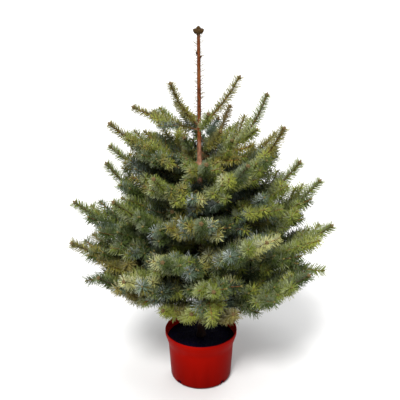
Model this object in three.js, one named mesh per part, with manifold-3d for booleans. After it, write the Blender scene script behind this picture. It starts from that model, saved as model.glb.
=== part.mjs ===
// A pot-grown Christmas tree: a straight stem with a bare leader and eight whorls of boughs,
// growing in compost in a round plastic nursery pot.
//
// Units are millimetres and degrees. +Z is up and -Y is the front. The origin is the middle of
// the pot's flat underside. A bough's turn is its compass angle about the stem, from +X towards +Y.
import * as THREE from "three";
import { mergeVertices } from "three/addons/utils/BufferGeometryUtils.js";
import Module from "manifold-3d";

const wasm = await Module();
wasm.setup();

const SEED = 20251;
const GAP = 0.3; // air left between pieces that meet
const FINEST = 0.02; // flatness to which faces are merged

const POT = {
  height: 162,
  lipRadius: 110,
  lipDrop: 13, // height of the upright band at the lip
  lipEdge: 1.2, // bevel along the top of the band
  flareDrop: 50, // depth below the lip where the flare meets the body
  flareKnee: { height: 0.55, width: 0.43 }, // where the flare turns, as shares of it
  bodyTopRadius: 99.5,
  bodyFootRadius: 93.5,
  cornerRadius: 13,
  wall: 2,
  sides: 24,
  drainSlots: 4,
  drainSlot: { width: 15, depth: 20, height: 15, radius: 90, above: 2.4 },
};

const SOIL = { edgeDrop: 26, crown: 2, shoulderRadius: 60, shoulderDrop: 0.4, flatRadius: 18 };

const TRUNK = {
  tip: 1066,
  lean: 7, // sideways drift of the tip, towards -X
  sides: 8,
  // height and radius, from the flat cut at the compost to the tip below the buds
  taper: [
    [0, 15],
    [20, 12.2],
    [52, 11],
    [167, 10],
    [347, 8.6],
    [527, 7],
    [647, 5.4],
    [697, 4.2],
    [928, 2.8],
  ],
};

const BUD = {
  length: 17,
  radius: 5.5,
  sides: 5,
  // half width as a share of the radius, and height as a share of the length, base to point
  line: [[0, -0.2], [1, 0.25], [0.7, 0.7], [0, 1]],
};
const CROWN_BUDS = { count: 5, turn: 20, lean: 58, size: 0.95 }; // round the tip's upright bud
const LEADER_BUDS = { lean: 55, size: 0.55, places: [[58, 180], [68, 350]] }; // [below tip, turn]

// Every whorl has its height on the stem, its age in years, the angle that its boughs leave the
// stem at as a share of the angle to their tips, its needle length, the half width and half
// depth of the packed foliage along its boughs, and the radius of a bough where foliage starts.
// Its boughs are [turn, reach from the stem, rise of the tip], with an age of their own if
// theirs differs. The boughs of a whorl with a bare share are limbs without needles for that
// share of their length. Twigs hang below them as well in as many years as hanging gives.
const WHORLS = {
  a: {
    height: 803, years: 1, leave: 0.75, needle: 13, packed: [7, 6], stem: 2.2,
    boughs: [[20, 112, 134], [118, 150, 34], [174, 188, 54, 2], [208, 92, 136], [287, 66, 58]],
  },
  b: {
    height: 695, years: 2, leave: 0.3, needle: 14, packed: [17, 9], stem: 2.6,
    boughs: [[9, 184, 196], [70, 258, 104], [128, 228, 104], [192, 252, 136, 3], [274, 196, 70]],
  },
  c: {
    height: 600, years: 3, leave: 0.45, needle: 16, packed: [27, 12], stem: 3,
    boughs: [
      [336, 240, 232], [38, 284, 132], [104, 282, 120],
      [170, 264, 134], [238, 232, 126], [303, 222, 158],
    ],
  },
  d: {
    height: 505, years: 3, leave: 0.45, needle: 17, packed: [36, 15], stem: 3.4,
    boughs: [
      [353, 276, 210], [62, 322, 120], [124, 322, 118],
      [178, 268, 190], [214, 282, 140], [270, 262, 124],
    ],
  },
  e: {
    height: 415, years: 4, leave: 0.4, needle: 18, packed: [44, 18], stem: 3.8, bare: 0.18,
    hanging: 0,
    boughs: [
      [11, 356, 206], [76, 340, 112], [134, 345, 118],
      [184, 360, 176], [250, 292, 110], [309, 276, 138],
    ],
  },
  f: {
    height: 340, years: 4, leave: 0.5, needle: 19, packed: [48, 21], stem: 4.2, bare: 0.2,
    hanging: 2,
    boughs: [
      [354, 376, 184], [54, 362, 120], [112, 358, 108],
      [190, 374, 140], [226, 300, 98], [277, 272, 96],
    ],
  },
  g: {
    height: 282, years: 4, leave: 0.1, needle: 19, packed: [46, 20], stem: 4.2, bare: 0.2,
    hanging: 0,
    boughs: [[331, 340, 148], [45, 322, 126], [134, 322, 120], [208, 322, 134]],
  },
  h: {
    height: 256, years: 2, leave: -0.2, needle: 19, packed: [38, 16], stem: 3.2,
    boughs: [[92, 218, 72], [240, 212, 74], [296, 206, 64]],
  },
};

const BOUGH = {
  stagger: [0, 7, -6, 5, -9, 9], // heights of a whorl's boughs about the whorl's own
  bend: 0.52, // distance from the stem to where a bough bends up, as a share of its span
  trackSteps: 28,
};

const LIMB = { sides: 5, steps: 3, swell: 1.35 }; // radius at the trunk against the far end

const TWIG = {
  angle: 47, // between a side twig and its axis
  rolls: [0, 180], // where a pair of side twigs stands round its axis, from the level
  hanging: 270, // and a third one below an older bough
  share: [0.7, 0.88], // a side twig's length, as a share of the axis beyond it
  scatter: 0.03, // how unevenly side twigs stand along their axis
  least: 40, // shortest side twig worth growing
  turnIn: 0.1, // how far the tip turns back along the axis, as a share of the twig's length
  lift: 0.1, // and how far it rises
  sides: 4,
};

const SPRAY = {
  pitch: 28, // along a spray, between one ring of needles and the next
  sweep: 0.8, // how far a needle leans forward, in pitches
  twist: 27, // between one ring of needles and the next
  heart: 0.36, // radius of a twig's packed heart, as a share of its needles
  flatten: 0.8, // height against width of the needles round a twig
  bulge: 0.7, // below 1, the packed foliage is fullest nearer the stem than the tip
  tipFullness: 0.55, // of the last ring, against a full one
  tipRings: 3, // over which a spray narrows to its tip
  bareStart: 18, // length of stem with no needles
  sides: 4,
  oldSides: 6, // round a bough of more than two years
};

const SPACE = { margin: 4, trunk: 13 }; // clearance from other boughs' foliage, from the stem's line

const COLOURS = {
  pot: [0xa01509, 0.38],
  soil: [0x14100d, 0.95],
  bark: [0x8a5c40, 0.85],
  boughBark: [0x5f4736, 0.9],
  foliage: [0x4f6a2b, 0.75],
};

const UP = new THREE.Vector3(0, 0, 1);
const radians = THREE.MathUtils.degToRad;

// A repeatable number from 0 to 1 for any list of whole numbers.
function chance(...keys) {
  let h = SEED;
  for (const key of keys) {
    h = Math.imul(h ^ (key + 0x9e37), 0x9e3779b1);
    h = Math.imul(h ^ (h >>> 15), 0x85ebca6b);
    h ^= h >>> 13;
  }
  return (h >>> 0) / 2 ** 32;
}

function between([low, high], share) {
  return low + (high - low) * share;
}

// ---- solids ---------------------------------------------------------------------------------

function solidFrom(geometry) {
  const bare = geometry.clone();
  bare.deleteAttribute("normal");
  bare.deleteAttribute("uv");
  const merged = mergeVertices(bare, 1e-4);
  return new wasm.Manifold(
    new wasm.Mesh({
      numProp: 3,
      vertProperties: merged.attributes.position.array,
      triVerts: new Uint32Array(merged.index.array),
    }),
  );
}

function geometryFrom(solid) {
  const { vertProperties, triVerts } = solid.getMesh();
  const geometry = new THREE.BufferGeometry();
  geometry.setAttribute("position", new THREE.BufferAttribute(vertProperties, 3));
  geometry.setIndex(new THREE.BufferAttribute(triVerts, 1));
  geometry.computeVertexNormals();
  return geometry;
}

// The largest piece of a solid, so that a loose scrap is dropped.
function largest(solid) {
  const pieces = solid.decompose().sort((one, other) => other.volume() - one.volume());
  return pieces[0];
}

// A closed skin over rings of points that run anticlockwise as seen from the far end. It ends
// flat, or in the point given as tip. The diagonals of its faces meet at every second point of
// a ring, where needles stand, so that a needle has the same faces on both of its sides.
function skinOver(rings, tip = null) {
  const sides = rings[0].length;
  const positions = rings.flat().flatMap((point) => point.toArray());
  const at = (ring, side) => ring * sides + (side % sides);
  const faces = [];
  for (let side = 1; side < sides - 1; side++) faces.push(at(0, 0), at(0, side + 1), at(0, side));
  for (let ring = 0; ring < rings.length - 1; ring++) {
    for (let side = 0; side < sides; side++) {
      const near = [at(ring, side), at(ring, side + 1)];
      const far = [at(ring + 1, side), at(ring + 1, side + 1)];
      if ((ring + side) % 2 === 0) faces.push(near[0], near[1], far[1], near[0], far[1], far[0]);
      else faces.push(near[1], far[1], far[0], near[1], far[0], near[0]);
    }
  }
  const last = rings.length - 1;
  if (tip) {
    positions.push(...tip.toArray());
    for (let side = 0; side < sides; side++) {
      faces.push(at(last, side), at(last, side + 1), rings.length * sides);
    }
  } else {
    for (let side = 1; side < sides - 1; side++) {
      faces.push(at(last, 0), at(last, side), at(last, side + 1));
    }
  }
  const geometry = new THREE.BufferGeometry();
  geometry.setAttribute("position", new THREE.Float32BufferAttribute(positions, 3));
  geometry.setIndex(faces);
  return geometry;
}

// The two directions across a path that heads along tangent: level, and upright.
function across(tangent, reference = UP) {
  const level = reference.clone().cross(tangent).normalize();
  return { level, upright: tangent.clone().cross(level) };
}

function pointRound(centre, { level, upright }, angle, radius, flatten = 1) {
  return centre
    .clone()
    .addScaledVector(level, Math.cos(angle) * radius)
    .addScaledVector(upright, Math.sin(angle) * radius * flatten);
}

function roundRing(centre, frame, radius, sides) {
  const angles = Array.from({ length: sides }, (_, side) => (side / sides) * 2 * Math.PI);
  return angles.map((angle) => pointRound(centre, frame, angle, radius));
}

// ---- pot and compost ------------------------------------------------------------------------

// The outer line of the pot from the middle of the underside to the lip, as [radius, height].
function potOutline() {
  const { height, lipRadius, lipDrop, lipEdge, flareDrop, flareKnee } = POT;
  const { bodyTopRadius, bodyFootRadius, cornerRadius } = POT;
  const corner = [0, 45, 90].map((angle) => [
    bodyFootRadius - cornerRadius * (1 - Math.sin(radians(angle))),
    cornerRadius * (1 - Math.cos(radians(angle))),
  ]);
  const bandRadius = lipRadius - lipEdge;
  const knee = [
    between([bodyTopRadius, bandRadius], flareKnee.width),
    between([height - flareDrop, height - lipDrop], flareKnee.height),
  ];
  const lip = [[bandRadius, height - lipDrop], [lipRadius, height - lipEdge], [bandRadius, height]];
  return [[0, 0], ...corner, [bodyTopRadius, height - flareDrop], knee, ...lip];
}

// A line moved inwards and upwards by the wall.
function insetBy(line, wall) {
  return line.map(([radius, height]) => [Math.max(radius - wall, 0), Math.max(height, wall)]);
}

function lathe(line) {
  const points = line.map(([radius, height]) => new THREE.Vector2(radius, height));
  return new THREE.LatheGeometry(points, POT.sides).rotateX(Math.PI / 2);
}

function makePot() {
  const outer = potOutline();
  const inner = insetBy(outer, POT.wall).reverse();
  let pot = solidFrom(lathe([...outer, ...inner]));
  const { width, depth, height, radius, above } = POT.drainSlot;
  for (let slot = 0; slot < POT.drainSlots; slot++) {
    const cutter = new THREE.BoxGeometry(depth, width, height)
      .translate(radius, 0, above + height / 2)
      .rotateZ(((slot + 0.5) / POT.drainSlots) * 2 * Math.PI);
    pot = pot.subtract(solidFrom(cutter));
  }
  return geometryFrom(pot);
}

const soilEdge = POT.height - SOIL.edgeDrop;
const soilTop = soilEdge + SOIL.crown;

function makeSoil() {
  const inner = insetBy(potOutline(), POT.wall + GAP);
  const below = inner.filter(([, height]) => height < soilEdge);
  const [lowRadius, lowHeight] = below[below.length - 1];
  const [highRadius, highHeight] = inner[below.length];
  const share = (soilEdge - lowHeight) / (highHeight - lowHeight);
  return lathe([
    ...below,
    [between([lowRadius, highRadius], share) - GAP, soilEdge],
    [SOIL.shoulderRadius, soilTop - SOIL.shoulderDrop],
    [SOIL.flatRadius, soilTop],
    [0, soilTop],
  ]);
}

// ---- trunk ----------------------------------------------------------------------------------

const trunkFoot = soilTop + GAP;

function trunkCentre(height) {
  const share = (height - trunkFoot) / (TRUNK.tip - trunkFoot);
  return new THREE.Vector3(-TRUNK.lean * share, 0, height);
}

function trunkRadius(height) {
  const above = height - trunkFoot;
  const next = Math.max(1, TRUNK.taper.findIndex(([level]) => level >= above));
  const [[lowLevel, lowRadius], [highLevel, highRadius]] = TRUNK.taper.slice(next - 1, next + 1);
  return between([lowRadius, highRadius], (above - lowLevel) / (highLevel - lowLevel));
}

// The trunk without its buds, thicker all round by extra.
function trunkSkin(extra) {
  const frame = across(UP, new THREE.Vector3(0, 1, 0));
  const rings = TRUNK.taper.map(([level, radius]) =>
    roundRing(trunkCentre(trunkFoot + level), frame, radius + extra, TRUNK.sides),
  );
  return solidFrom(skinOver(rings));
}

// A pointed bud that stands at base and leans off the upright by lean, towards turn.
function makeBud(base, turn, lean, size) {
  const line = BUD.line.map(
    ([width, height]) => new THREE.Vector2(width * BUD.radius * size, height * BUD.length * size),
  );
  const bud = new THREE.LatheGeometry(line, BUD.sides).rotateX(Math.PI / 2);
  bud.rotateY(radians(lean)).rotateZ(radians(turn)).translate(base.x, base.y, base.z);
  return solidFrom(bud);
}

function makeTrunk() {
  const top = trunkCentre(TRUNK.tip);
  let trunk = trunkSkin(0).add(makeBud(top, 0, 0, 1));
  for (let bud = 0; bud < CROWN_BUDS.count; bud++) {
    const turn = CROWN_BUDS.turn + (bud / CROWN_BUDS.count) * 360;
    trunk = trunk.add(makeBud(top, turn, CROWN_BUDS.lean, CROWN_BUDS.size));
  }
  for (const [below, turn] of LEADER_BUDS.places) {
    const base = trunkCentre(TRUNK.tip - below);
    trunk = trunk.add(makeBud(base, turn, LEADER_BUDS.lean, LEADER_BUDS.size));
  }
  return geometryFrom(trunk.simplify(FINEST));
}

// ---- boughs and foliage ---------------------------------------------------------------------

// The line of a bough, from the middle of the stem to the tip of its foliage.
function boughCurve(whorl, index) {
  const [turn, reach, rise] = whorl.boughs[index];
  const heading = new THREE.Vector3(Math.cos(radians(turn)), Math.sin(radians(turn)), 0);
  const start = trunkCentre(whorl.height + BOUGH.stagger[index]);
  const tip = heading.clone().multiplyScalar(reach).setZ(whorl.height + rise);
  const arm = BOUGH.bend * start.distanceTo(tip);
  const leave = whorl.leave * Math.atan2(rise, reach);
  const bend = start.clone().addScaledVector(heading, arm * Math.cos(leave));
  bend.z += arm * Math.sin(leave);
  return new THREE.QuadraticBezierCurve3(start, bend, tip);
}

const boughs = Object.entries(WHORLS).flatMap(([letter, whorl], tier) =>
  whorl.boughs.map(([, , , ownYears], index) => {
    const curve = boughCurve(whorl, index);
    return {
      name: letter + (index + 1),
      tier,
      index,
      whorl,
      years: ownYears ?? whorl.years,
      curve,
      length: curve.getLength(),
      track: curve.getPoints(BOUGH.trackSteps),
    };
  }),
);

function distanceTo(bough, point) {
  return Math.sqrt(Math.min(...bough.track.map((spot) => spot.distanceToSquared(point))));
}

// Whether a point lies in the space of a bough's foliage: nearer to that bough's line than to
// any other's, and clear of the stem.
function inSpace(bough, point) {
  const fromStem = Math.hypot(point.x - trunkCentre(point.z).x, point.y);
  if (fromStem < SPACE.trunk) return false;
  const own = distanceTo(bough, point) + SPACE.margin;
  return boughs.every((other) => other === bough || distanceTo(other, point) > own);
}

// A bough or twig with its needles, along a curve from one share of it to another. It is bare up
// to the share leafy. Past that its needles stand out of a packed heart, which swells towards
// the half width and half depth given as packed. A needle that would leave the bough's space
// stays down on the heart, and a heart that would leave it stays down on the stem.
function spray(bough, curve, { from = 0, leafy, to = 1, packed, sides, phase }) {
  const { needle, stem } = bough.whorl;
  const heart = needle * SPRAY.heart;
  const length = curve.getLength();
  const steps = Math.max(2, Math.round(((to - leafy) * length) / SPRAY.pitch));
  const pitch = ((to - leafy) * length) / steps;
  const start = curve.getPoint(from);
  const rings = [roundRing(start, across(curve.getTangent(from)), stem, sides)];
  for (let step = 0; step < steps; step++) {
    const share = between([leafy, to], step / steps);
    const centre = curve.getPoint(share);
    const tangent = curve.getTangent(share);
    const frame = across(tangent);
    const narrowing = Math.min(1, (steps - step) / SPRAY.tipRings);
    const fullness = between([SPRAY.tipFullness, 1], narrowing);
    const bulge = Math.sin(Math.PI * (step / steps) ** SPRAY.bulge);
    const [width, depth] = packed.map((half) => between([heart, half], bulge) * fullness);
    const twist = radians(SPRAY.twist) * step + phase;
    const ring = Array.from({ length: sides }, (_, side) => {
      const angle = (side / sides) * 2 * Math.PI + twist;
      const skin = pointRound(centre, frame, angle, width, depth / width);
      const end = pointRound(skin, frame, angle, needle * fullness, SPRAY.flatten);
      end.addScaledVector(tangent, SPRAY.sweep * pitch);
      const choices = (step + side) % 2 === 0 ? [end, skin] : [skin];
      const fits = choices.find((point) => inSpace(bough, point));
      return fits ?? pointRound(centre, frame, angle, stem);
    });
    rings.push(ring);
  }
  return solidFrom(skinOver(rings, curve.getPoint(to)));
}

// The curve of a side twig: it leaves its axis forwards at an angle, at some roll round it, and
// its tip turns forwards and up.
function twigCurve(axis, share, roll, length) {
  const start = axis.getPoint(share);
  const tangent = axis.getTangent(share);
  const outward = pointRound(new THREE.Vector3(), across(tangent), radians(roll), 1);
  const angle = radians(TWIG.angle);
  const heading = tangent.clone().multiplyScalar(Math.cos(angle));
  heading.addScaledVector(outward, Math.sin(angle));
  const bend = start.clone().addScaledVector(heading, length / 2);
  const tip = start.clone().addScaledVector(heading, length * (1 - TWIG.turnIn));
  tip.addScaledVector(tangent, length * TWIG.turnIn);
  tip.z += TWIG.lift * length;
  return new THREE.QuadraticBezierCurve3(start, bend, tip);
}

// How far along a side twig can grow before it leaves its bough's space, as a share of it.
function roomFor(bough, curve) {
  const steps = 12;
  const nearest = 3;
  for (let step = nearest; step <= steps; step++) {
    if (!inSpace(bough, curve.getPoint(step / steps))) return (step - 1) / steps;
  }
  return 1;
}

function makeFoliage(bough) {
  const { whorl, tier, index, years, curve, length } = bough;
  const { packed } = whorl;
  const heart = whorl.needle * SPRAY.heart;
  const from = whorl.bare ? whorl.bare + GAP / length : 0;
  const covered = whorl.bare ? 0 : trunkRadius(whorl.height);
  const leafy = from + (SPRAY.bareStart + covered) / length;
  const sides = years > 2 ? SPRAY.oldSides : SPRAY.sides;
  const phase = chance(tier, index);
  let foliage = spray(bough, curve, { from, leafy, packed, sides, phase });
  for (let year = 1; year < years; year++) {
    const rolls = year <= whorl.hanging ? [...TWIG.rolls, TWIG.hanging] : TWIG.rolls;
    rolls.forEach((roll, place) => {
      const keys = [tier, index, year, place];
      const share = year / years + TWIG.scatter * (chance(...keys, 1) - 0.5);
      const reach = (1 - share) * length * between(TWIG.share, chance(...keys, 2));
      const twig = twigCurve(curve, share, roll, reach);
      const to = roomFor(bough, twig);
      if (share < leafy || reach * to < TWIG.least) return;
      const sunk = roll === TWIG.hanging ? packed[1] : packed[0];
      const needles = {
        leafy: Math.min(sunk / reach, to / 2),
        to,
        packed: [heart, heart],
        sides: TWIG.sides,
        phase: chance(...keys, 3),
      };
      foliage = foliage.add(spray(bough, twig, needles));
    });
  }
  return foliage;
}

function makeLimb({ whorl, curve }) {
  const rings = [];
  for (let step = 0; step <= LIMB.steps; step++) {
    const share = (step / LIMB.steps) * whorl.bare;
    const radius = whorl.stem * between([LIMB.swell, 1], step / LIMB.steps);
    const frame = across(curve.getTangent(share));
    rings.push(roundRing(curve.getPoint(share), frame, radius, LIMB.sides));
  }
  return solidFrom(skinOver(rings));
}

// ---- the tree -------------------------------------------------------------------------------

const tree = new THREE.Group();
tree.name = "potted_christmas_tree";

function place(name, geometry, [color, roughness]) {
  const finish = { color, roughness, metalness: 0, flatShading: true };
  const mesh = new THREE.Mesh(geometry, new THREE.MeshStandardMaterial(finish));
  mesh.name = name;
  tree.add(mesh);
}

place("pot", makePot(), COLOURS.pot);
place("soil", makeSoil(), COLOURS.soil);
place("trunk", makeTrunk(), COLOURS.bark);

const trunkWithGap = trunkSkin(GAP);
for (const bough of boughs) {
  if (bough.whorl.bare) {
    const limb = largest(makeLimb(bough).subtract(trunkWithGap));
    place(`bough_${bough.name}`, geometryFrom(limb), COLOURS.boughBark);
  }
  const foliage = largest(makeFoliage(bough).subtract(trunkWithGap)).simplify(FINEST);
  place(`foliage_${bough.name}`, geometryFrom(foliage), COLOURS.foliage);
}

export default tree;
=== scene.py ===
"""Dresses a pot-grown Christmas tree: bark, twigs, buds and needles grown by the rule that laid
out its solids, the red plastic pot and the compost.

Sizes are metres and angles are degrees unless a name says otherwise. +Z is up and -Y is the
front. A bough's turn is its compass angle about the stem, from +X towards +Y.
"""

import logging
import math
from dataclasses import dataclass, field, replace
from enum import Enum
from typing import Iterator, Sequence

import bpy
import numpy as np
from mathutils import Matrix, Vector, noise


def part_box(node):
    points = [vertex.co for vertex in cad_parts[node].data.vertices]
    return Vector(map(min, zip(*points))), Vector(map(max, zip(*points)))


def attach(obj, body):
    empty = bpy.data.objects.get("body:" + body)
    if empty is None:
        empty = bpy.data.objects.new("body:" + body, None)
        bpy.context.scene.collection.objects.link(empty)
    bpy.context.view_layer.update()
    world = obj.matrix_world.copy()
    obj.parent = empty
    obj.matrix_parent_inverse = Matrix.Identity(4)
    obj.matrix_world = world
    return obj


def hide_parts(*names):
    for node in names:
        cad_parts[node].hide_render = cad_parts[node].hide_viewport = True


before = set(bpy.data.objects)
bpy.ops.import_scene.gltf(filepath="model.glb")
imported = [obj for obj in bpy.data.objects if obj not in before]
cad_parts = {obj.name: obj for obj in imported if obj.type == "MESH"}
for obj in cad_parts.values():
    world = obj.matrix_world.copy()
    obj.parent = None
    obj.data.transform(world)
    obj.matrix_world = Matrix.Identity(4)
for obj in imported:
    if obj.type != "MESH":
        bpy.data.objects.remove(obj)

logging.basicConfig(level=logging.INFO, format="%(message)s")
log = logging.getLogger("tree")

BODY = "root"
SEED = 20251
GOLDEN_ANGLE = math.radians(137.508)
UP = np.array([0.0, 0.0, 1.0])
BACK = np.array([0.0, 1.0, 0.0])
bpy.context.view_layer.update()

Color = tuple[float, float, float]
Span = tuple[float, float]
Line = list[Span]  # points as radius and height


# ---- small helpers ----------------------------------------------------------------------------


def chance(*keys: int) -> float:
    """Gives a repeatable number from 0 to 1 for any list of whole numbers.

    Args:
        keys: The whole numbers that name one growing point of the tree.

    Returns:
        The same number for the same keys, spread evenly from 0 to 1.
    """
    word = 0xFFFFFFFF
    h = SEED
    for key in keys:
        h = ((h ^ (key + 0x9E37)) * 0x9E3779B1) & word
        h = ((h ^ (h >> 15)) * 0x85EBCA6B) & word
        h ^= h >> 13
    return h / 2**32


def between(low: float, high: float, share: float) -> float:
    """Returns the value at a share of the way from low to high."""
    return low + (high - low) * share


def unit(vectors: np.ndarray) -> np.ndarray:
    """Returns vectors scaled to length 1, along their last axis."""
    return vectors / np.linalg.norm(vectors, axis=-1, keepdims=True)


def linear(red: int, green: int, blue: int) -> Color:
    """Returns a screen colour, 0 to 255 a channel, as linear light."""
    shares = [channel / 255 for channel in (red, green, blue)]
    return tuple(s / 12.92 if s <= 0.04045 else ((s + 0.055) / 1.055) ** 2.4 for s in shares)


def rgba(color: Color) -> tuple[float, float, float, float]:
    """Returns a colour with full alpha."""
    return (*color, 1.0)


def across(tangent: np.ndarray, reference: np.ndarray = UP) -> tuple[np.ndarray, np.ndarray]:
    """Gives the two directions across a path.

    Args:
        tangent: The way the path heads, at one point or at many.
        reference: What counts as upright.

    Returns:
        The level direction and the upright one, both at right angles to the tangent.
    """
    level = unit(np.cross(reference, tangent))
    return level, np.cross(tangent, level)


class Graph:
    """Adds nodes to a node tree and links them as it goes."""

    def __init__(self, tree: bpy.types.NodeTree) -> None:
        """Takes the tree that the nodes go into."""
        self.tree = tree

    def add(self, kind: str, inputs: dict | None = None, **settings: object) -> bpy.types.Node:
        """Adds one node.

        Args:
            kind: The node's Blender type name.
            inputs: For each input's name or number, the socket that feeds it or its value.
            settings: Properties of the node that are set first.

        Returns:
            The new node.
        """
        node = self.tree.nodes.new(kind)
        for name, value in settings.items():
            setattr(node, name, value)
        for key, value in (inputs or {}).items():
            if isinstance(value, bpy.types.NodeSocket):
                self.tree.links.new(value, node.inputs[key])
            else:
                node.inputs[key].default_value = value
        return node

    def math(self, operation: str, *values: object) -> bpy.types.NodeSocket:
        """Adds a Math node on values or sockets and returns its output."""
        node = self.add("ShaderNodeMath", dict(enumerate(values)), operation=operation)
        return node.outputs[0]

    def vector(self, operation: str, *values: object) -> bpy.types.NodeSocket:
        """Adds a Vector Math node on values or sockets and returns its output."""
        node = self.add("ShaderNodeVectorMath", dict(enumerate(values)), operation=operation)
        return node.outputs[0]

    def scaled(self, vector: object, factor: object) -> bpy.types.NodeSocket:
        """Returns a vector socket multiplied by a number."""
        values = {"Vector": vector, "Scale": factor}
        return self.add("ShaderNodeVectorMath", values, operation="SCALE").outputs[0]

    def mix(self, share: object, low: object, high: object) -> bpy.types.NodeSocket:
        """Adds a colour Mix node and returns its output."""
        node = self.add("ShaderNodeMix", {0: share, 6: low, 7: high}, data_type="RGBA")
        return node.outputs[2]

    def ranged(self, value: object, span: Span, to: Span) -> bpy.types.NodeSocket:
        """Adds a Map Range node from one span to another and returns its output."""
        inputs = {"Value": value, 1: span[0], 2: span[1], 3: to[0], 4: to[1]}
        return self.add("ShaderNodeMapRange", inputs).outputs[0]


def mesh_object(name: str, vertices: np.ndarray, faces: Sequence, smooth: bool = True) -> bpy.types.Object:
    """Makes an object from points and faces.

    Args:
        name: The object's name.
        vertices: Points, in metres.
        faces: Lists of point numbers that run anticlockwise as seen from outside.
        smooth: Whether the faces are shaded as one smooth surface.

    Returns:
        The object, linked to the scene.
    """
    mesh = bpy.data.meshes.new(name)
    mesh.from_pydata(np.asarray(vertices, float).tolist(), [], [list(map(int, f)) for f in faces])
    mesh.polygons.foreach_set("use_smooth", [smooth] * len(mesh.polygons))
    mesh.update()
    piece = bpy.data.objects.new(name, mesh)
    bpy.context.scene.collection.objects.link(piece)
    return piece


def applied(piece: bpy.types.Object) -> bpy.types.Object:
    """Turns an object's modifiers into plain mesh and removes them.

    Args:
        piece: The object.

    Returns:
        The same object.
    """
    evaluated = piece.evaluated_get(bpy.context.evaluated_depsgraph_get())
    result = bpy.data.meshes.new_from_object(evaluated)
    piece.modifiers.clear()
    old = piece.data
    piece.data = result
    bpy.data.meshes.remove(old)
    return piece


def discard(piece: bpy.types.Object) -> None:
    """Removes a helper object and its mesh.

    Args:
        piece: The object to remove.
    """
    mesh = piece.data
    bpy.data.objects.remove(piece)
    bpy.data.meshes.remove(mesh)


def ring_faces(rings: int, sides: int, first: int = 0) -> list[tuple[int, ...]]:
    """Gives the faces of a tube of rings, closed by a flat face at each end.

    Args:
        rings: How many rings of points there are.
        sides: How many points a ring has, anticlockwise as seen from the far end.
        first: The number of the first ring's first point.

    Returns:
        The faces, as lists of point numbers, with the two flat ends first and last.
    """
    faces = [tuple(first + side for side in reversed(range(sides)))]
    for ring in range(rings - 1):
        near = first + ring * sides
        far = near + sides
        for side in range(sides):
            after = (side + 1) % sides
            faces.append((near + side, near + after, far + after, far + side))
    last = first + (rings - 1) * sides
    faces.append(tuple(last + side for side in range(sides)))
    return faces


def lathe(name: str, line: Sequence[tuple[float, float]], sides: int) -> bpy.types.Object:
    """Turns a line about the upright axis into a closed body.

    Args:
        name: The object's name.
        line: Points as radius and height. The first and last lie on the axis, and the outside
            is on the right of the way the line runs.
        sides: How many sides the body has.

    Returns:
        The object.
    """
    turns = np.arange(sides) / sides * 2 * math.pi
    circle = np.stack([np.cos(turns), np.sin(turns)], axis=1)
    rings = [np.column_stack([circle * radius, np.full(sides, height)]) for radius, height in line[1:-1]]
    vertices = np.vstack([[[0, 0, line[0][1]]], *rings, [[0, 0, line[-1][1]]]])
    top = len(vertices) - 1
    last = top - sides
    faces = [(0, 1 + (side + 1) % sides, 1 + side) for side in range(sides)]
    faces += ring_faces(len(rings), sides, 1)[1:-1]
    faces += [(top, last + side, last + (side + 1) % sides) for side in range(sides)]
    return mesh_object(name, vertices, faces)


# ---- effects that several finishes share ------------------------------------------------------


def shader_group(name: str, inputs: dict[str, str], outputs: dict[str, str]) -> Graph:
    """Starts a shader node group.

    Args:
        name: The group's name.
        inputs: Each input's name, with its socket type.
        outputs: Each output's name, with its socket type.

    Returns:
        A graph on the new group, which still has no nodes.
    """
    tree = bpy.data.node_groups.new(name, "ShaderNodeTree")
    for label, kind in inputs.items():
        tree.interface.new_socket(name=label, in_out="INPUT", socket_type=kind)
    for label, kind in outputs.items():
        tree.interface.new_socket(name=label, in_out="OUTPUT", socket_type=kind)
    return Graph(tree)


def make_grain_group() -> bpy.types.NodeTree:
    """Makes Drawn Grain: noise stretched along an axis, given as a height and as a mask.

    Returns:
        The group.
    """
    inputs = {
        "Scale": "NodeSocketFloat",
        "Stretch": "NodeSocketVector",
        "Detail": "NodeSocketFloat",
        "Contrast": "NodeSocketFloat",
    }
    graph = shader_group("Drawn Grain", inputs, {"Height": "NodeSocketFloat", "Mask": "NodeSocketFloat"})
    entry = graph.add("NodeGroupInput").outputs
    place = graph.add("ShaderNodeTexCoord").outputs["Object"]
    values = {
        "Vector": graph.vector("MULTIPLY", place, entry["Stretch"]),
        "Scale": entry["Scale"],
        "Detail": entry["Detail"],
    }
    height = graph.add("ShaderNodeTexNoise", values).outputs["Fac"]
    centred = graph.math("SUBTRACT", height, 0.5)
    spread = graph.math("MULTIPLY_ADD", centred, entry["Contrast"], 0.5)
    mask = graph.add("ShaderNodeClamp", {"Value": spread}).outputs[0]
    graph.add("NodeGroupOutput", {"Height": height, "Mask": mask})
    return graph.tree


def make_tones_group() -> bpy.types.NodeTree:
    """Makes Mingled Tones: a colour with a lighter and a darker one laid over it by masks.

    Returns:
        The group.
    """
    inputs = {
        "Main": "NodeSocketColor",
        "Light": "NodeSocketColor",
        "Dark": "NodeSocketColor",
        "Light Mask": "NodeSocketFloat",
        "Dark Mask": "NodeSocketFloat",
    }
    graph = shader_group("Mingled Tones", inputs, {"Color": "NodeSocketColor"})
    entry = graph.add("NodeGroupInput").outputs
    lit = graph.mix(entry["Light Mask"], entry["Main"], entry["Light"])
    graph.add("NodeGroupOutput", {"Color": graph.mix(entry["Dark Mask"], lit, entry["Dark"])})
    return graph.tree


GRAIN = make_grain_group()
TONES = make_tones_group()


@dataclass(frozen=True)
class Grain:
    """How Drawn Grain lies in one finish."""

    scale: float
    stretch: Color = (1.0, 1.0, 1.0)
    detail: float = 3.0
    contrast: float = 2.0

    def place(self, graph: Graph) -> bpy.types.Node:
        """Adds the group to a material.

        Args:
            graph: The material's graph.

        Returns:
            The group's node.
        """
        values = {"Scale": self.scale, "Stretch": self.stretch, "Detail": self.detail}
        values["Contrast"] = self.contrast
        return graph.add("ShaderNodeGroup", values, node_tree=GRAIN)


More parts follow.
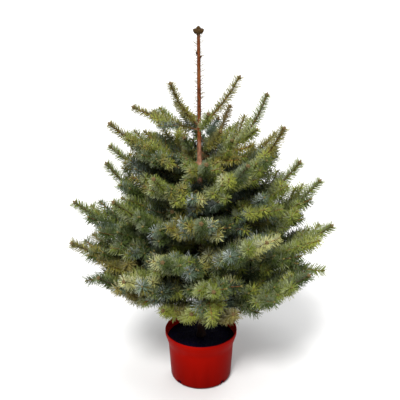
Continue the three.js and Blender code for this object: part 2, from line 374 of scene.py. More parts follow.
def start_material(name: str) -> tuple[bpy.types.Material, Graph, bpy.types.Node]:
    """Starts a material.

    Args:
        name: The material's name.

    Returns:
        The material, a graph on its nodes, and its Principled shader.
    """
    material = bpy.data.materials.new(name)
    material.use_nodes = True
    return material, Graph(material.node_tree), material.node_tree.nodes["Principled BSDF"]


def feed(graph: Graph, shader: bpy.types.Node, **sockets: bpy.types.NodeSocket) -> None:
    """Links sockets to a shader's inputs, named with _ for each space.

    Args:
        graph: The material's graph.
        shader: The Principled shader.
        sockets: For each input, the socket that feeds it.
    """
    for name, socket in sockets.items():
        graph.tree.links.new(socket, shader.inputs[name.replace("_", " ")])


# ---- finishes ---------------------------------------------------------------------------------


@dataclass(frozen=True)
class PlasticFinish:
    """Satin moulded plastic with faint flow streaks down its wall, lighter at the lip and darker at the
    foot as painted light and shade.
    """

    # foot and lip: the darker foot is painted shade, the lighter lip is painted light from above
    foot: Color = linear(88, 3, 1)
    lip: Color = linear(142, 8, 1)
    light: Color = linear(140, 10, 2)
    dark: Color = linear(84, 2, 1)
    # heights over which the painted shade of the foot turns into the lit colour of the lip
    rise: tuple[float, float] = (0.0, 0.15)
    streaks: Grain = Grain(34, (1.0, 1.0, 0.07), 3.0, 1.6)
    clouds: Grain = Grain(9, (1.0, 1.0, 0.6), 2.0, 1.8)
    pores: Grain = Grain(900, (1.0, 1.0, 1.0), 2.0, 1.0)
    roughness: tuple[float, float] = (0.34, 0.47)
    gloss: float = 0.015
    relief: float = 0.00006

    def material(self) -> bpy.types.Material:
        """Builds the material.

        Returns:
            The material.
        """
        material, graph, shader = start_material("red_pot_plastic")
        streaks, clouds, pores = (g.place(graph) for g in (self.streaks, self.clouds, self.pores))
        place = graph.add("ShaderNodeTexCoord").outputs["Object"]
        height = graph.add("ShaderNodeSeparateXYZ", {"Vector": place}).outputs["Z"]
        # Main carries painted light and shade: dark at the foot, light at the lip
        tones = {
            "Main": graph.mix(graph.ranged(height, self.rise, (0, 1)), rgba(self.foot), rgba(self.lip)),
            "Light": rgba(self.light),
            "Dark": rgba(self.dark),
            "Light Mask": graph.math("MULTIPLY", streaks.outputs["Mask"], 0.45),
            "Dark Mask": graph.math("MULTIPLY", clouds.outputs["Mask"], 0.4),
        }
        color = graph.add("ShaderNodeGroup", tones, node_tree=TONES).outputs["Color"]
        rough = graph.ranged(clouds.outputs["Mask"], (0, 1), self.roughness)
        height = graph.math("MULTIPLY_ADD", streaks.outputs["Height"], 2.0, pores.outputs["Height"])
        bump = {"Strength": 0.5, "Distance": self.relief, "Height": height}
        normal = graph.add("ShaderNodeBump", bump).outputs["Normal"]
        feed(graph, shader, Base_Color=color, Roughness=rough, Normal=normal)
        shader.inputs["Specular IOR Level"].default_value = self.gloss
        return material


@dataclass(frozen=True)
class CompostFinish:
    """Dark moist peat, from nearly black to brown, its near-black navy partly painted shade."""

    name: str
    # main, light and dark: the peat's own dark colour, deepened and turned navy as painted shade in the pot
    main: Color = linear(8, 5, 26)
    light: Color = linear(15, 10, 32)
    dark: Color = linear(3, 1, 16)
    crumbs: Grain = Grain(260, (1.0, 1.0, 1.0), 4.0, 3.2)
    damp: Grain = Grain(24, (1.0, 1.0, 1.0), 2.0, 3.0)
    relief: float = 0.0012

    def material(self) -> bpy.types.Material:
        """Builds the material.

        Returns:
            The material.
        """
        material, graph, shader = start_material(self.name)
        crumbs, damp = self.crumbs.place(graph), self.damp.place(graph)
        tones = {
            "Main": rgba(self.main),
            "Light": rgba(self.light),
            "Dark": rgba(self.dark),
            "Light Mask": graph.math("MULTIPLY", crumbs.outputs["Mask"], 0.5),
            "Dark Mask": damp.outputs["Mask"],
        }
        color = graph.add("ShaderNodeGroup", tones, node_tree=TONES).outputs["Color"]
        rough = graph.ranged(damp.outputs["Mask"], (0, 1), (0.95, 0.72))
        bump = {"Strength": 0.8, "Distance": self.relief, "Height": crumbs.outputs["Height"]}
        normal = graph.add("ShaderNodeBump", bump).outputs["Normal"]
        feed(graph, shader, Base_Color=color, Roughness=rough, Normal=normal)
        shader.inputs["Specular IOR Level"].default_value = 0.03
        return material


@dataclass(frozen=True)
class BarkFinish:
    """Young conifer bark, whose colour turns from stop to stop going up, with painted shade on its pale
    patches low down.
    """

    name: str
    stops: tuple[tuple[float, Color], ...]  # height and colour
    light: Color
    dark: Color
    fissures: Grain = Grain(240, (1.0, 1.0, 0.3), 4.0, 3.0)
    patches: Grain = Grain(38, (1.0, 1.0, 0.5), 3.0, 3.0)
    relief: float = 0.0007
    painted_shade_span: tuple[float, float] = (0.3, 0.5)  # heights over which the painted shade on the pale patches gives way going up
    gloss: float = 0.15

    def material(self) -> bpy.types.Material:
        """Builds the material.

        Returns:
            The material.
        """
        material, graph, shader = start_material(self.name)
        fissures, patches = self.fissures.place(graph), self.patches.place(graph)
        place = graph.add("ShaderNodeTexCoord").outputs["Object"]
        height = graph.add("ShaderNodeSeparateXYZ", {"Vector": place}).outputs["Z"]
        wander = graph.math("MULTIPLY_ADD", patches.outputs["Height"], 0.12, height)
        (low, color), *others = self.stops
        main = rgba(color)
        for high, color in others:
            main = graph.mix(graph.ranged(wander, (low, high), (0, 1)), main, rgba(color))
            low = high
        # painted shade: the pale patches take the dark colour low down and turn pale going up
        pale = graph.mix(graph.ranged(height, self.painted_shade_span, (0, 1)), rgba(self.dark), rgba(self.light))
        tones = {
            "Main": main,
            "Light": pale,
            "Dark": rgba(self.dark),
            "Light Mask": graph.math("MULTIPLY", patches.outputs["Mask"], 0.3),
            "Dark Mask": graph.math("MULTIPLY", fissures.outputs["Mask"], 0.65),
        }
        color = graph.add("ShaderNodeGroup", tones, node_tree=TONES).outputs["Color"]
        rough = graph.ranged(fissures.outputs["Mask"], (0, 1), (0.7, 0.92))
        bump = {"Strength": 0.7, "Distance": self.relief, "Height": fissures.outputs["Height"]}
        normal = graph.add("ShaderNodeBump", bump).outputs["Normal"]
        feed(graph, shader, Base_Color=color, Roughness=rough, Normal=normal)
        shader.inputs["Specular IOR Level"].default_value = self.gloss
        return material


@dataclass(frozen=True)
class LeafFinish:
    """A plain tint with a dull wax gloss, for pieces of many small faces."""

    name: str
    color: Color
    roughness: float = 0.42
    gloss: float = 0.34

    def material(self) -> bpy.types.Material:
        """Builds the material.

        Returns:
            The material.
        """
        material, _, shader = start_material(self.name)
        shader.inputs["Base Color"].default_value = rgba(self.color)
        shader.inputs["Roughness"].default_value = self.roughness
        shader.inputs["Specular IOR Level"].default_value = self.gloss
        return material


class Tint(Enum):
    """The needle tints, each with the colour of a needle's upper face and of its underside."""

    SHADE = (linear(36, 46, 20), linear(54, 64, 48))
    DEEP = (linear(62, 76, 29), linear(104, 112, 84))
    LEAF = (linear(102, 112, 42), linear(134, 141, 103))
    FRESH = (linear(130, 136, 52), linear(139, 145, 93))
    # pale yellow-green tint dealt among the sprays as painted highlight of top-lit needles
    PALE = (linear(164, 164, 102), linear(168, 171, 141))
    BLUE = (linear(82, 98, 78), linear(156, 164, 160))
    OLIVE = (linear(118, 113, 46), linear(118, 117, 76))
    TAN = (linear(126, 117, 62), linear(126, 121, 88))
    BRONZE = (linear(98, 86, 46), linear(100, 94, 64))

    def finishes(self) -> tuple[LeafFinish, LeafFinish]:
        """Gives the finishes of the tint's two colours.

        Returns:
            The upper face's finish, and the underside's.
        """
        word = self.name.lower()
        upper, under = self.value
        return LeafFinish(f"needle_{word}", upper), LeafFinish(f"needle_{word}_under", under, 0.6)


# ---- the rule that the tree grows by ----------------------------------------------------------


@dataclass(frozen=True)
class Path:
    """A curve with one bend, from start to tip."""

    start: np.ndarray
    bend: np.ndarray
    tip: np.ndarray

    def point(self, share: float | np.ndarray) -> np.ndarray:
        """Returns the point at a share of the path, or one for each share."""
        t = np.asarray(share, float)[..., None]
        return (1 - t) ** 2 * self.start + 2 * t * (1 - t) * self.bend + t**2 * self.tip

    def tangent(self, share: float | np.ndarray) -> np.ndarray:
        """Returns the heading at a share of the path, or one for each share."""
        t = np.asarray(share, float)[..., None]
        return unit((1 - t) * (self.bend - self.start) + t * (self.tip - self.bend))

    def length(self) -> float:
        """Returns the path's length."""
        steps = np.diff(self.point(np.linspace(0, 1, 40)), axis=0)
        return float(np.linalg.norm(steps, axis=1).sum())


@dataclass(frozen=True)
class Whorl:
    """A ring of boughs that left the stem in one year.

    Its boughs are (turn, reach from the stem, rise of the tip), with an age of their own if
    theirs differs. Leave is the angle that they leave the trunk at, as a share of the angle to
    their tips, and stem is the radius that their foliage starts on.
    """

    height: float
    years: int
    leave: float
    needle: float
    stem: float
    boughs: tuple[tuple, ...]
    bare: float = 0.0  # share of each bough without foliage
    hanging: int = 0  # in how many years a third twig hangs below


WHORLS = (
    Whorl(
        0.803, 1, 0.75, 0.013, 0.0022,
        ((20, 0.112, 0.134), (118, 0.150, 0.034), (174, 0.188, 0.054, 2), (208, 0.092, 0.136),
         (287, 0.066, 0.058)),
    ),
    Whorl(
        0.695, 2, 0.3, 0.014, 0.0026,
        ((9, 0.184, 0.196), (70, 0.258, 0.104), (128, 0.228, 0.104), (192, 0.252, 0.136, 3),
         (274, 0.196, 0.070)),
    ),
    Whorl(
        0.600, 3, 0.45, 0.016, 0.0030,
        ((336, 0.240, 0.232), (38, 0.284, 0.132), (104, 0.282, 0.120), (170, 0.264, 0.134),
         (238, 0.232, 0.126), (303, 0.222, 0.158)),
    ),
    Whorl(
        0.505, 3, 0.45, 0.017, 0.0034,
        ((353, 0.276, 0.210), (62, 0.322, 0.120), (124, 0.322, 0.118), (178, 0.268, 0.190),
         (214, 0.282, 0.140), (270, 0.262, 0.124)),
    ),
    Whorl(
        0.415, 4, 0.4, 0.018, 0.0038,
        ((11, 0.356, 0.206), (76, 0.340, 0.112), (134, 0.345, 0.118), (184, 0.360, 0.176),
         (250, 0.292, 0.110), (309, 0.276, 0.138)),
        bare=0.18,
    ),
    Whorl(
        0.340, 4, 0.5, 0.019, 0.0042,
        ((354, 0.376, 0.184), (54, 0.362, 0.120), (112, 0.358, 0.108), (190, 0.374, 0.140),
         (226, 0.300, 0.098), (277, 0.272, 0.096)),
        bare=0.2, hanging=2,
    ),
    Whorl(
        0.282, 4, 0.1, 0.019, 0.0042,
        ((331, 0.340, 0.148), (45, 0.322, 0.126), (134, 0.322, 0.120), (208, 0.322, 0.134)),
        bare=0.2,
    ),
    Whorl(
        0.256, 2, -0.2, 0.019, 0.0032,
        ((92, 0.218, 0.072), (240, 0.212, 0.074), (296, 0.206, 0.064)),
    ),
)
ROOT_STAGGER = (0.0, 0.007, -0.006, 0.005, -0.009, 0.009)
BOUGH_BEND = 0.52  # distance from the stem to where a bough bends up, as a share of its span
TRACK_POINTS = 29
LEADER_LETTER = "t"
STEM_LETTER = "s"
STEM_TIER = 20  # these three keep one kind of twig's random numbers apart from the others'
STEM_KEY = 90
FINE_KEY = 40
FRONT_TURNS = (225.0, 315.0)  # compass angles of the boughs that face the front
LEFT_FROM = 150.0
RIGHT_TO = 40.0
SKIRT_TOP = 0.345  # tips below this height belong to the skirt of foliage over the pot
OWN_TINT = 0.8  # share of the shoots that do not take their spray's tint
INNER_SHARE = 0.5  # shoots that end within this share of their bough's reach are old and sparse, and darker partly by painted shade
INNER_PITCH = 1.6  # how far apart their needles stand, against the others'
BUD_SIZES = (1.0, 0.75, 0.6, 0.5)  # of end buds, by a shoot's order
PITCHES = (0.6, 0.85, 1.0, 1.1)  # between needles, by a shoot's order
NEEDLE_PROFILE = ((0, 0.14, 0.8, 1), (0.6, 1.0, 1.0, 0.82))  # places on a shoot, and lengths there
NEEDLE_SPREAD = (0.78, 1.14)  # shortest and longest needle against the profile
TIP_CLOSING = 6.0  # how late along a shoot its needles close up, as a power
STRAND_VALUES = ("needle", "girth", "bud", "tint", "pitch", "under")


@dataclass(frozen=True, eq=False)
class Bough:
    """One bough: where it stands in the tree, and its line."""

    letter: str
    tier: int
    index: int
    whorl: Whorl
    years: int
    turn: float
    path: Path
    track: np.ndarray

    @property
    def name(self) -> str:
        """Returns the bough's name, as its solids have it."""
        return f"{self.letter}{self.index + 1}"


@dataclass(frozen=True)
class Shoot:
    """A twig with needles along a stretch of its path."""

    bough: Bough
    path: Path
    first: float  # share of the path where needles start
    last: float  # and where the twig ends
    order: int  # 0 for a bough, 1 for its side twigs, and so on
    needle: float
    girth: tuple[float, float]  # radius at the start and at the tip
    code: tuple[int, ...]
    years: int

    @property
    def tint(self) -> Tint:
        """Deals the shoot a tint of its own, or the one dealt to the spray that it is part of.

        Returns:
            The tint.
        """
        tints = Zone.of(self).value
        code = self.code if chance(*self.code, 8) < OWN_TINT else self.code[:4]
        return tints[int(chance(*code, 9) * len(tints))]

    @property
    def bud(self) -> float:
        """Returns the size of the shoot's end bud, against the largest."""
        return BUD_SIZES[self.order]

    @property
    def pitch(self) -> float:
        """Returns how far apart its needles stand, against the usual."""
        return PITCHES[self.order] * (INNER_PITCH if self.inner else 1.0)

    @property
    def inner(self) -> bool:
        """Says whether the shoot ends deep in the crown, where it is old and sparse, and its darker tint is
        partly painted shade.
        """
        tip = self.path.point(self.last)
        return math.hypot(tip[0], tip[1]) < INNER_SHARE * math.hypot(*self.bough.path.tip[:2])

    def needle_at(self, along: np.ndarray) -> np.ndarray:
        """Returns the needles' length at shares of the leafy stretch."""
        return self.needle * np.interp(along, *NEEDLE_PROFILE)

    def girth_at(self, shares: np.ndarray) -> np.ndarray:
        """Returns the twig's radius at shares of its path."""
        return np.interp(shares, (0, 1), self.girth)

    def shares(self, step: float) -> np.ndarray:
        """Returns evenly spread shares of the leafy stretch, about a step apart."""
        stretch = (self.last - self.first) * self.path.length()
        return np.linspace(self.first, self.last, max(4, int(stretch / step) + 2))


@dataclass
class Stem:
    """The line and thickness of the trunk, from its solid's box."""

    lean: float = 0.007
    taper: tuple[tuple[float, float], ...] = (
        (0, 0.015), (0.020, 0.0122), (0.052, 0.011), (0.167, 0.010), (0.347, 0.0086),
        (0.527, 0.007), (0.647, 0.0054), (0.697, 0.0042), (0.928, 0.0028),
    )
    foot: float = field(default_factory=lambda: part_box("trunk")[0].z)

    @property
    def tip(self) -> float:
        """Returns the height where the trunk ends, below its buds."""
        return self.foot + self.taper[-1][0]

    def centre(self, height: float | np.ndarray) -> np.ndarray:
        """Gives the trunk's middle.

        Args:
            height: A height, or many.

        Returns:
            The point at that height, or one for each.
        """
        z = np.asarray(height, float)
        share = (z - self.foot) / self.taper[-1][0]
        return np.stack([-self.lean * share, np.zeros_like(z), z], axis=-1)

    def radius(self, height: float | np.ndarray) -> np.ndarray:
        """Returns the trunk's radius at a height, or one for each height."""
        levels, radii = zip(*self.taper)
        return np.interp(np.asarray(height, float) - self.foot, levels, radii)


@dataclass
class TwigRule:
    """How side twigs leave their axis, as in the solids, and how finer ones follow."""

    angle: float = 47.0  # between a side twig and its axis
    rolls: Span = (0.0, 180.0)  # where a pair stands round the axis, from the level
    hanging: float = 270.0  # and where the third twig does
    share: Span = (0.7, 0.88)  # a side twig's length, as a share of the axis beyond it
    scatter: float = 0.03  # of the places where side twigs leave
    least: float = 0.04  # length of the shortest side twig
    turn_in: float = 0.1  # how much of a twig's length turns forwards
    lift: float = 0.1  # and how much it rises, as a share of it
    bare_start: float = 0.018  # from a bough's foot to its first needles
    tip_short: float = 0.003  # how far a bough's twig stops short of its solid's tip
    bare_share: float = 0.5  # how much of a bough's bare foot has no fine twigs either
    between_years: Span = (0.42, 0.58)  # length of twigs that stand between years
    unforked: float = 1.0  # how much of the last year's growth has no side twigs
    last_pair: Span = (0.62, 0.9)  # the newest twigs' length against the rule, to whorl d and below it
    lowest: float = 0.256  # no finer twig ends below this height
    fine_pitch: tuple[float, ...] = (0.025, 0.024, 0.028)  # between finer twigs, by their axis's order
    fine_share: Span = (0.46, 0.70)  # a finer twig's length, as a share of the axis beyond it
    fine_least: float = 0.028  # length of the shortest finer twig
    fine_roll: float = 30.0  # how far finer twigs stray from the level
    fine_sway: float = 13.0  # and from the rule's angle
    side_bare: float = 0.06  # share of a side twig without needles at its foot
    fine_bare: float = 0.05  # and of a finer one
    bough_tip: float = 0.0019  # radius of a bough's tip
    side_girth: Span = (0.62, 0.0014)  # a side twig's foot against its bough's, and its tip's radius
    fine_girth: Span = (0.6, 0.0011)  # the same for a finer twig and its axis
    deepest: int = 3  # order of the finest twigs
    room_from: int = 3  # first of the steps along a twig where its space is tried
    room_steps: int = 12  # and how many steps it has

    def path(self, axis: Path, share: float, roll: float, length: float, angle: float) -> Path:
        """Gives the path of a side twig, whose tip turns forwards and up.

        Args:
            axis: The path that it leaves.
            share: Where it leaves, as a share of that path.
            roll: Where it stands round the axis, from the level.
            length: Its length.
            angle: Its angle to the axis.

        Returns:
            The side twig's path.
        """
        start, tangent = axis.point(share), axis.tangent(share)
        level, upright = across(tangent)
        turn = math.radians(roll)
        outward = level * math.cos(turn) + upright * math.sin(turn)
        lean = math.radians(angle)
        heading = tangent * math.cos(lean) + outward * math.sin(lean)
        tip = start + heading * length * (1 - self.turn_in) + tangent * length * self.turn_in
        return Path(start, start + heading * length / 2, tip + UP * self.lift * length)


@dataclass(frozen=True)
class StemTwigRule:
    """How small twigs stand straight on the trunk between its whorls."""

    span: Span = (0.248, 0.790)  # heights of the lowest and the highest
    count: int = 50
    reach: tuple[Span, ...] = (  # height, and how far out they reach there
        (0.24, 0.15), (0.32, 0.18), (0.46, 0.15), (0.60, 0.11), (0.70, 0.06),
    )
    rise: tuple[Span, ...] = ((0.24, 0.055), (0.32, 0.06), (0.69, 0.06))  # and how far up
    scatter: float = 0.3  # of both, as a share
    years: int = 2
    girth: float = 0.0018
    leave: float = 0.5
    first_turn: float = 262.0
    gap: Span = (0.655, 0.785)  # heights where the stem shows in front


@dataclass(frozen=True)
class LeaderRule:
    """Where the leader's few needles start, their length and the radius of their strand."""

    foot: float = 0.80
    needle: float = 0.019
    girth: float = 0.003


@dataclass
class Growth:
    """Grows every bough and its shoots, each within its own space."""

    stem: Stem
    rule: TwigRule = field(default_factory=TwigRule)
    leader_rule: LeaderRule = field(default_factory=LeaderRule)
    stem_rule: StemTwigRule = field(default_factory=StemTwigRule)
    margin: float = 0.004  # clearance that a bough's foliage keeps from its neighbours'
    overreach: float = -0.010  # and for the finer twigs, which mingle a little
    trunk_clearance: float = 0.013
    boughs: list[Bough] = field(default_factory=list)

    def __post_init__(self) -> None:
        """Lays out the boughs."""
        for tier, (letter, whorl) in enumerate(zip("abcdefgh", WHORLS)):
            for index, (turn, _, _, *own_years) in enumerate(whorl.boughs):
                path = self.bough_path(whorl, index)
                years = own_years[0] if own_years else whorl.years
                track = path.point(np.linspace(0, 1, TRACK_POINTS))
                self.boughs.append(Bough(letter, tier, index, whorl, years, turn, path, track))
        self.tracks = np.array([bough.track for bough in self.boughs])

    def bough_path(self, whorl: Whorl, index: int) -> Path:
        """Gives a bough's line, from the middle of the stem to the tip of its foliage.

        Args:
            whorl: The whorl that it stands in.
            index: Its number there.

        Returns:
            The line.
        """
        turn, reach, rise = whorl.boughs[index][:3]
        heading = np.array([math.cos(math.radians(turn)), math.sin(math.radians(turn)), 0.0])
        start = self.stem.centre(whorl.height + ROOT_STAGGER[index])
        tip = heading * reach + UP * (whorl.height + rise)
        arm = BOUGH_BEND * np.linalg.norm(tip - start)
        leave = whorl.leave * math.atan2(rise, reach)
        bend = start + heading * arm * math.cos(leave) + UP * arm * math.sin(leave)
        return Path(start, bend, tip)

    def stem_twigs(self) -> list[Bough]:
        """Lays out the small twigs that stand on the trunk between its whorls.

        Returns:
            The twigs, each as a bough of a whorl of its own.
        """
        rule, twigs = self.stem_rule, []
        for number in range(rule.count):
            height = between(*rule.span, (number + 0.5) / rule.count)
            turn = (rule.first_turn + number * math.degrees(GOLDEN_ANGLE)) % 360
            if rule.gap[0] < height < rule.gap[1] and FRONT_TURNS[0] < turn < FRONT_TURNS[1]:
                continue
            longer = 1 + rule.scatter * (2 * chance(STEM_KEY, number) - 1)
            reach = float(np.interp(height, *zip(*rule.reach))) * longer
            rise = float(np.interp(height, *zip(*rule.rise))) * longer
            nearest = min(range(len(WHORLS)), key=lambda tier: abs(WHORLS[tier].height - height))
            model = replace(
                WHORLS[nearest], height=height, years=rule.years, leave=rule.leave, stem=rule.girth,
                boughs=((turn, reach, rise),), bare=0.0, hanging=0,
            )
            path = self.bough_path(model, 0)
            track = path.point(np.linspace(0, 1, 2))
            twigs.append(Bough(STEM_LETTER, STEM_TIER, number, model, rule.years, turn, path, track))
        return twigs

    def leader(self) -> Shoot:
        """Gives the leader's bare stretch as a shoot, for its few thin needles.

        Returns:
            The shoot.
        """
        rule = self.leader_rule
        ends = [self.stem.centre(height) for height in (rule.foot, self.stem.tip)]
        path = Path(ends[0], (ends[0] + ends[1]) / 2, ends[1])
        track, girth = path.point(np.linspace(0, 1, 2)), (rule.girth, rule.girth)
        bough = Bough(LEADER_LETTER, len(WHORLS), 0, WHORLS[0], 1, 0.0, path, track)
        return Shoot(bough, path, 0.0, 1.0, 0, rule.needle, girth, (bough.tier, 0), 1)

    def in_space(self, bough: Bough, points: np.ndarray, margin: float) -> np.ndarray:
        """Says which points lie in the space of a bough's foliage.

        Args:
            bough: The bough.
            points: The points, one a row.
            margin: How much nearer to this bough's line than to any other's they must be.

        Returns:
            True or False for each point.
        """
        apart = np.linalg.norm(self.tracks[:, :, None] - points[None, None], axis=3).min(axis=1)
        own = self.boughs.index(bough)
        others = np.delete(apart, own, axis=0).min(axis=0)
        from_stem = np.linalg.norm((points - self.stem.centre(points[:, 2]))[:, :2], axis=1)
        return (others > apart[own] + margin) & (from_stem > self.trunk_clearance)

    def room_for(self, bough: Bough, path: Path, margin: float) -> float:
        """Finds how far a twig can grow before it leaves its space.

        Args:
            bough: The bough whose space it is.
            path: The twig's path.
            margin: How much nearer to the bough's line than to any other's it must stay.

        Returns:
            The share of the path that lies in the space, or 1 for a twig on the trunk.
        """
        if bough not in self.boughs:
            return 1.0
        steps = self.rule.room_steps
        shares = np.arange(self.rule.room_from, steps + 1) / steps
        inside = self.in_space(bough, path.point(shares), margin)
        return 1.0 if inside.all() else float(shares[int(np.argmin(inside))] - 1 / steps)

    def shoots(self, bough: Bough) -> Iterator[Shoot]:
        """Yields a bough's shoots: its own tip, its side twigs and their finer ones.

        Args:
            bough: The bough.

        Yields:
            Each shoot.
        """
        rule, whorl, path = self.rule, bough.whorl, bough.path
        length = path.length()
        covered = 0.0 if whorl.bare else float(self.stem.radius(whorl.height))
        leafy = whorl.bare * rule.bare_share + (rule.bare_start + covered) / length
        girth = (whorl.stem, rule.bough_tip)
        code = (bough.tier, bough.index)
        end = 1 - rule.tip_short / length
        axis = Shoot(bough, path, leafy, end, 0, whorl.needle, girth, code, bough.years)
        yield axis
        yield from self.finer(axis)
        for year in range(1, bough.years):
            rolls = [*rule.rolls, rule.hanging] if year <= whorl.hanging else rule.rolls
            for place, roll in enumerate(rolls):
                keys = (*code, year, place)
                share = year / bough.years + rule.scatter * (chance(*keys, 1) - 0.5)
                reach = (1 - share) * length * between(*rule.share, chance(*keys, 2))
                if year == bough.years - 1:
                    high, low = rule.last_pair
                    reach *= low if bough.letter > "d" else high
                twig = rule.path(path, share, roll, reach, rule.angle)
                room = self.room_for(bough, twig, self.margin)
                if share < leafy or reach * room < rule.least:
                    continue
                foot, tip = rule.side_girth
                girth = (whorl.stem * foot, tip)
                years = bough.years - year
                shoot = Shoot(bough, twig, rule.side_bare, room, 1, whorl.needle, girth, keys, years)
                yield shoot
                yield from self.finer(shoot)

    def finer(self, axis: Shoot) -> Iterator[Shoot]:
        """Yields the finer twigs along a shoot, and theirs, down to the deepest order.

        Args:
            axis: The shoot that they leave.

        Yields:
            Each finer shoot.
        """
        rule = self.rule
        if axis.order >= rule.deepest or axis.years < 2:
            return
        length = axis.path.length()
        forked = min(axis.last, 1 - rule.unforked / axis.years)
        pairs = int((forked - axis.first) * length / rule.fine_pitch[axis.order])
        for number in range(pairs):
            for place, roll in enumerate(rule.rolls):
                keys = (*axis.code, FINE_KEY + number, place)
                share = between(axis.first, forked, (number + 0.3 + 0.6 * chance(*keys, 1)) / pairs)
                beyond = (1 - share) * length
                widths = rule.between_years if axis.order == 0 else rule.fine_share
                reach = beyond * between(*widths, chance(*keys, 2))
                if reach < rule.fine_least:
                    continue
                sway = rule.fine_roll * (2 * chance(*keys, 3) - 1)
                angle = rule.angle + rule.fine_sway * (2 * chance(*keys, 4) - 1)
                twig = rule.path(axis.path, share, roll + sway, reach, angle)
                room = self.room_for(axis.bough, twig, self.overreach)
                if reach * room < rule.fine_least or twig.tip[2] < rule.lowest:
                    continue
                foot, tip = rule.fine_girth
                girth = (axis.girth[0] * foot, tip)
                code = (*axis.code, number, place)
                years = math.ceil(axis.years * (1 - share)) - 1
                order, bare = axis.order + 1, rule.fine_bare
                shoot = Shoot(axis.bough, twig, bare, room, order, axis.needle, girth, code, years)
                yield shoot
                yield from self.finer(shoot)


# ---- what repeats along the shoots ------------------------------------------------------------


def geometry_tree(name: str, inputs: dict[str, str]) -> tuple[Graph, bpy.types.NodeSocket]:
    """Starts a Geometry Nodes tree on strands.

    Args:
        name: The tree's name.
        inputs: Each named input, with its socket type.

    Returns:
        A graph on the tree, and the outputs of its input node.
    """
    tree = bpy.data.node_groups.new(name, "GeometryNodeTree")
    tree.interface.new_socket(name="Strands", in_out="INPUT", socket_type="NodeSocketGeometry")
    for label, kind in inputs.items():
        tree.interface.new_socket(name=label, in_out="INPUT", socket_type=kind)
    tree.interface.new_socket(name="Mesh", in_out="OUTPUT", socket_type="NodeSocketGeometry")
    graph = Graph(tree)
    return graph, graph.add("NodeGroupInput").outputs


def attribute(graph: Graph, name: str, kind: str = "FLOAT") -> bpy.types.NodeSocket:
    """Returns a socket that reads a named attribute in a geometry tree."""
    node = graph.add("GeometryNodeInputNamedAttribute", {"Name": name}, data_type=kind)
    return node.outputs["Attribute"]


def random_value(graph: Graph, low: object, high: object, seed: int) -> bpy.types.NodeSocket:
    """Returns a socket of random numbers from low to high, fixed by the seed."""
    values = {2: low, 3: high, "Seed": seed}
    return graph.add("FunctionNodeRandomValue", values, data_type="FLOAT").outputs[1]


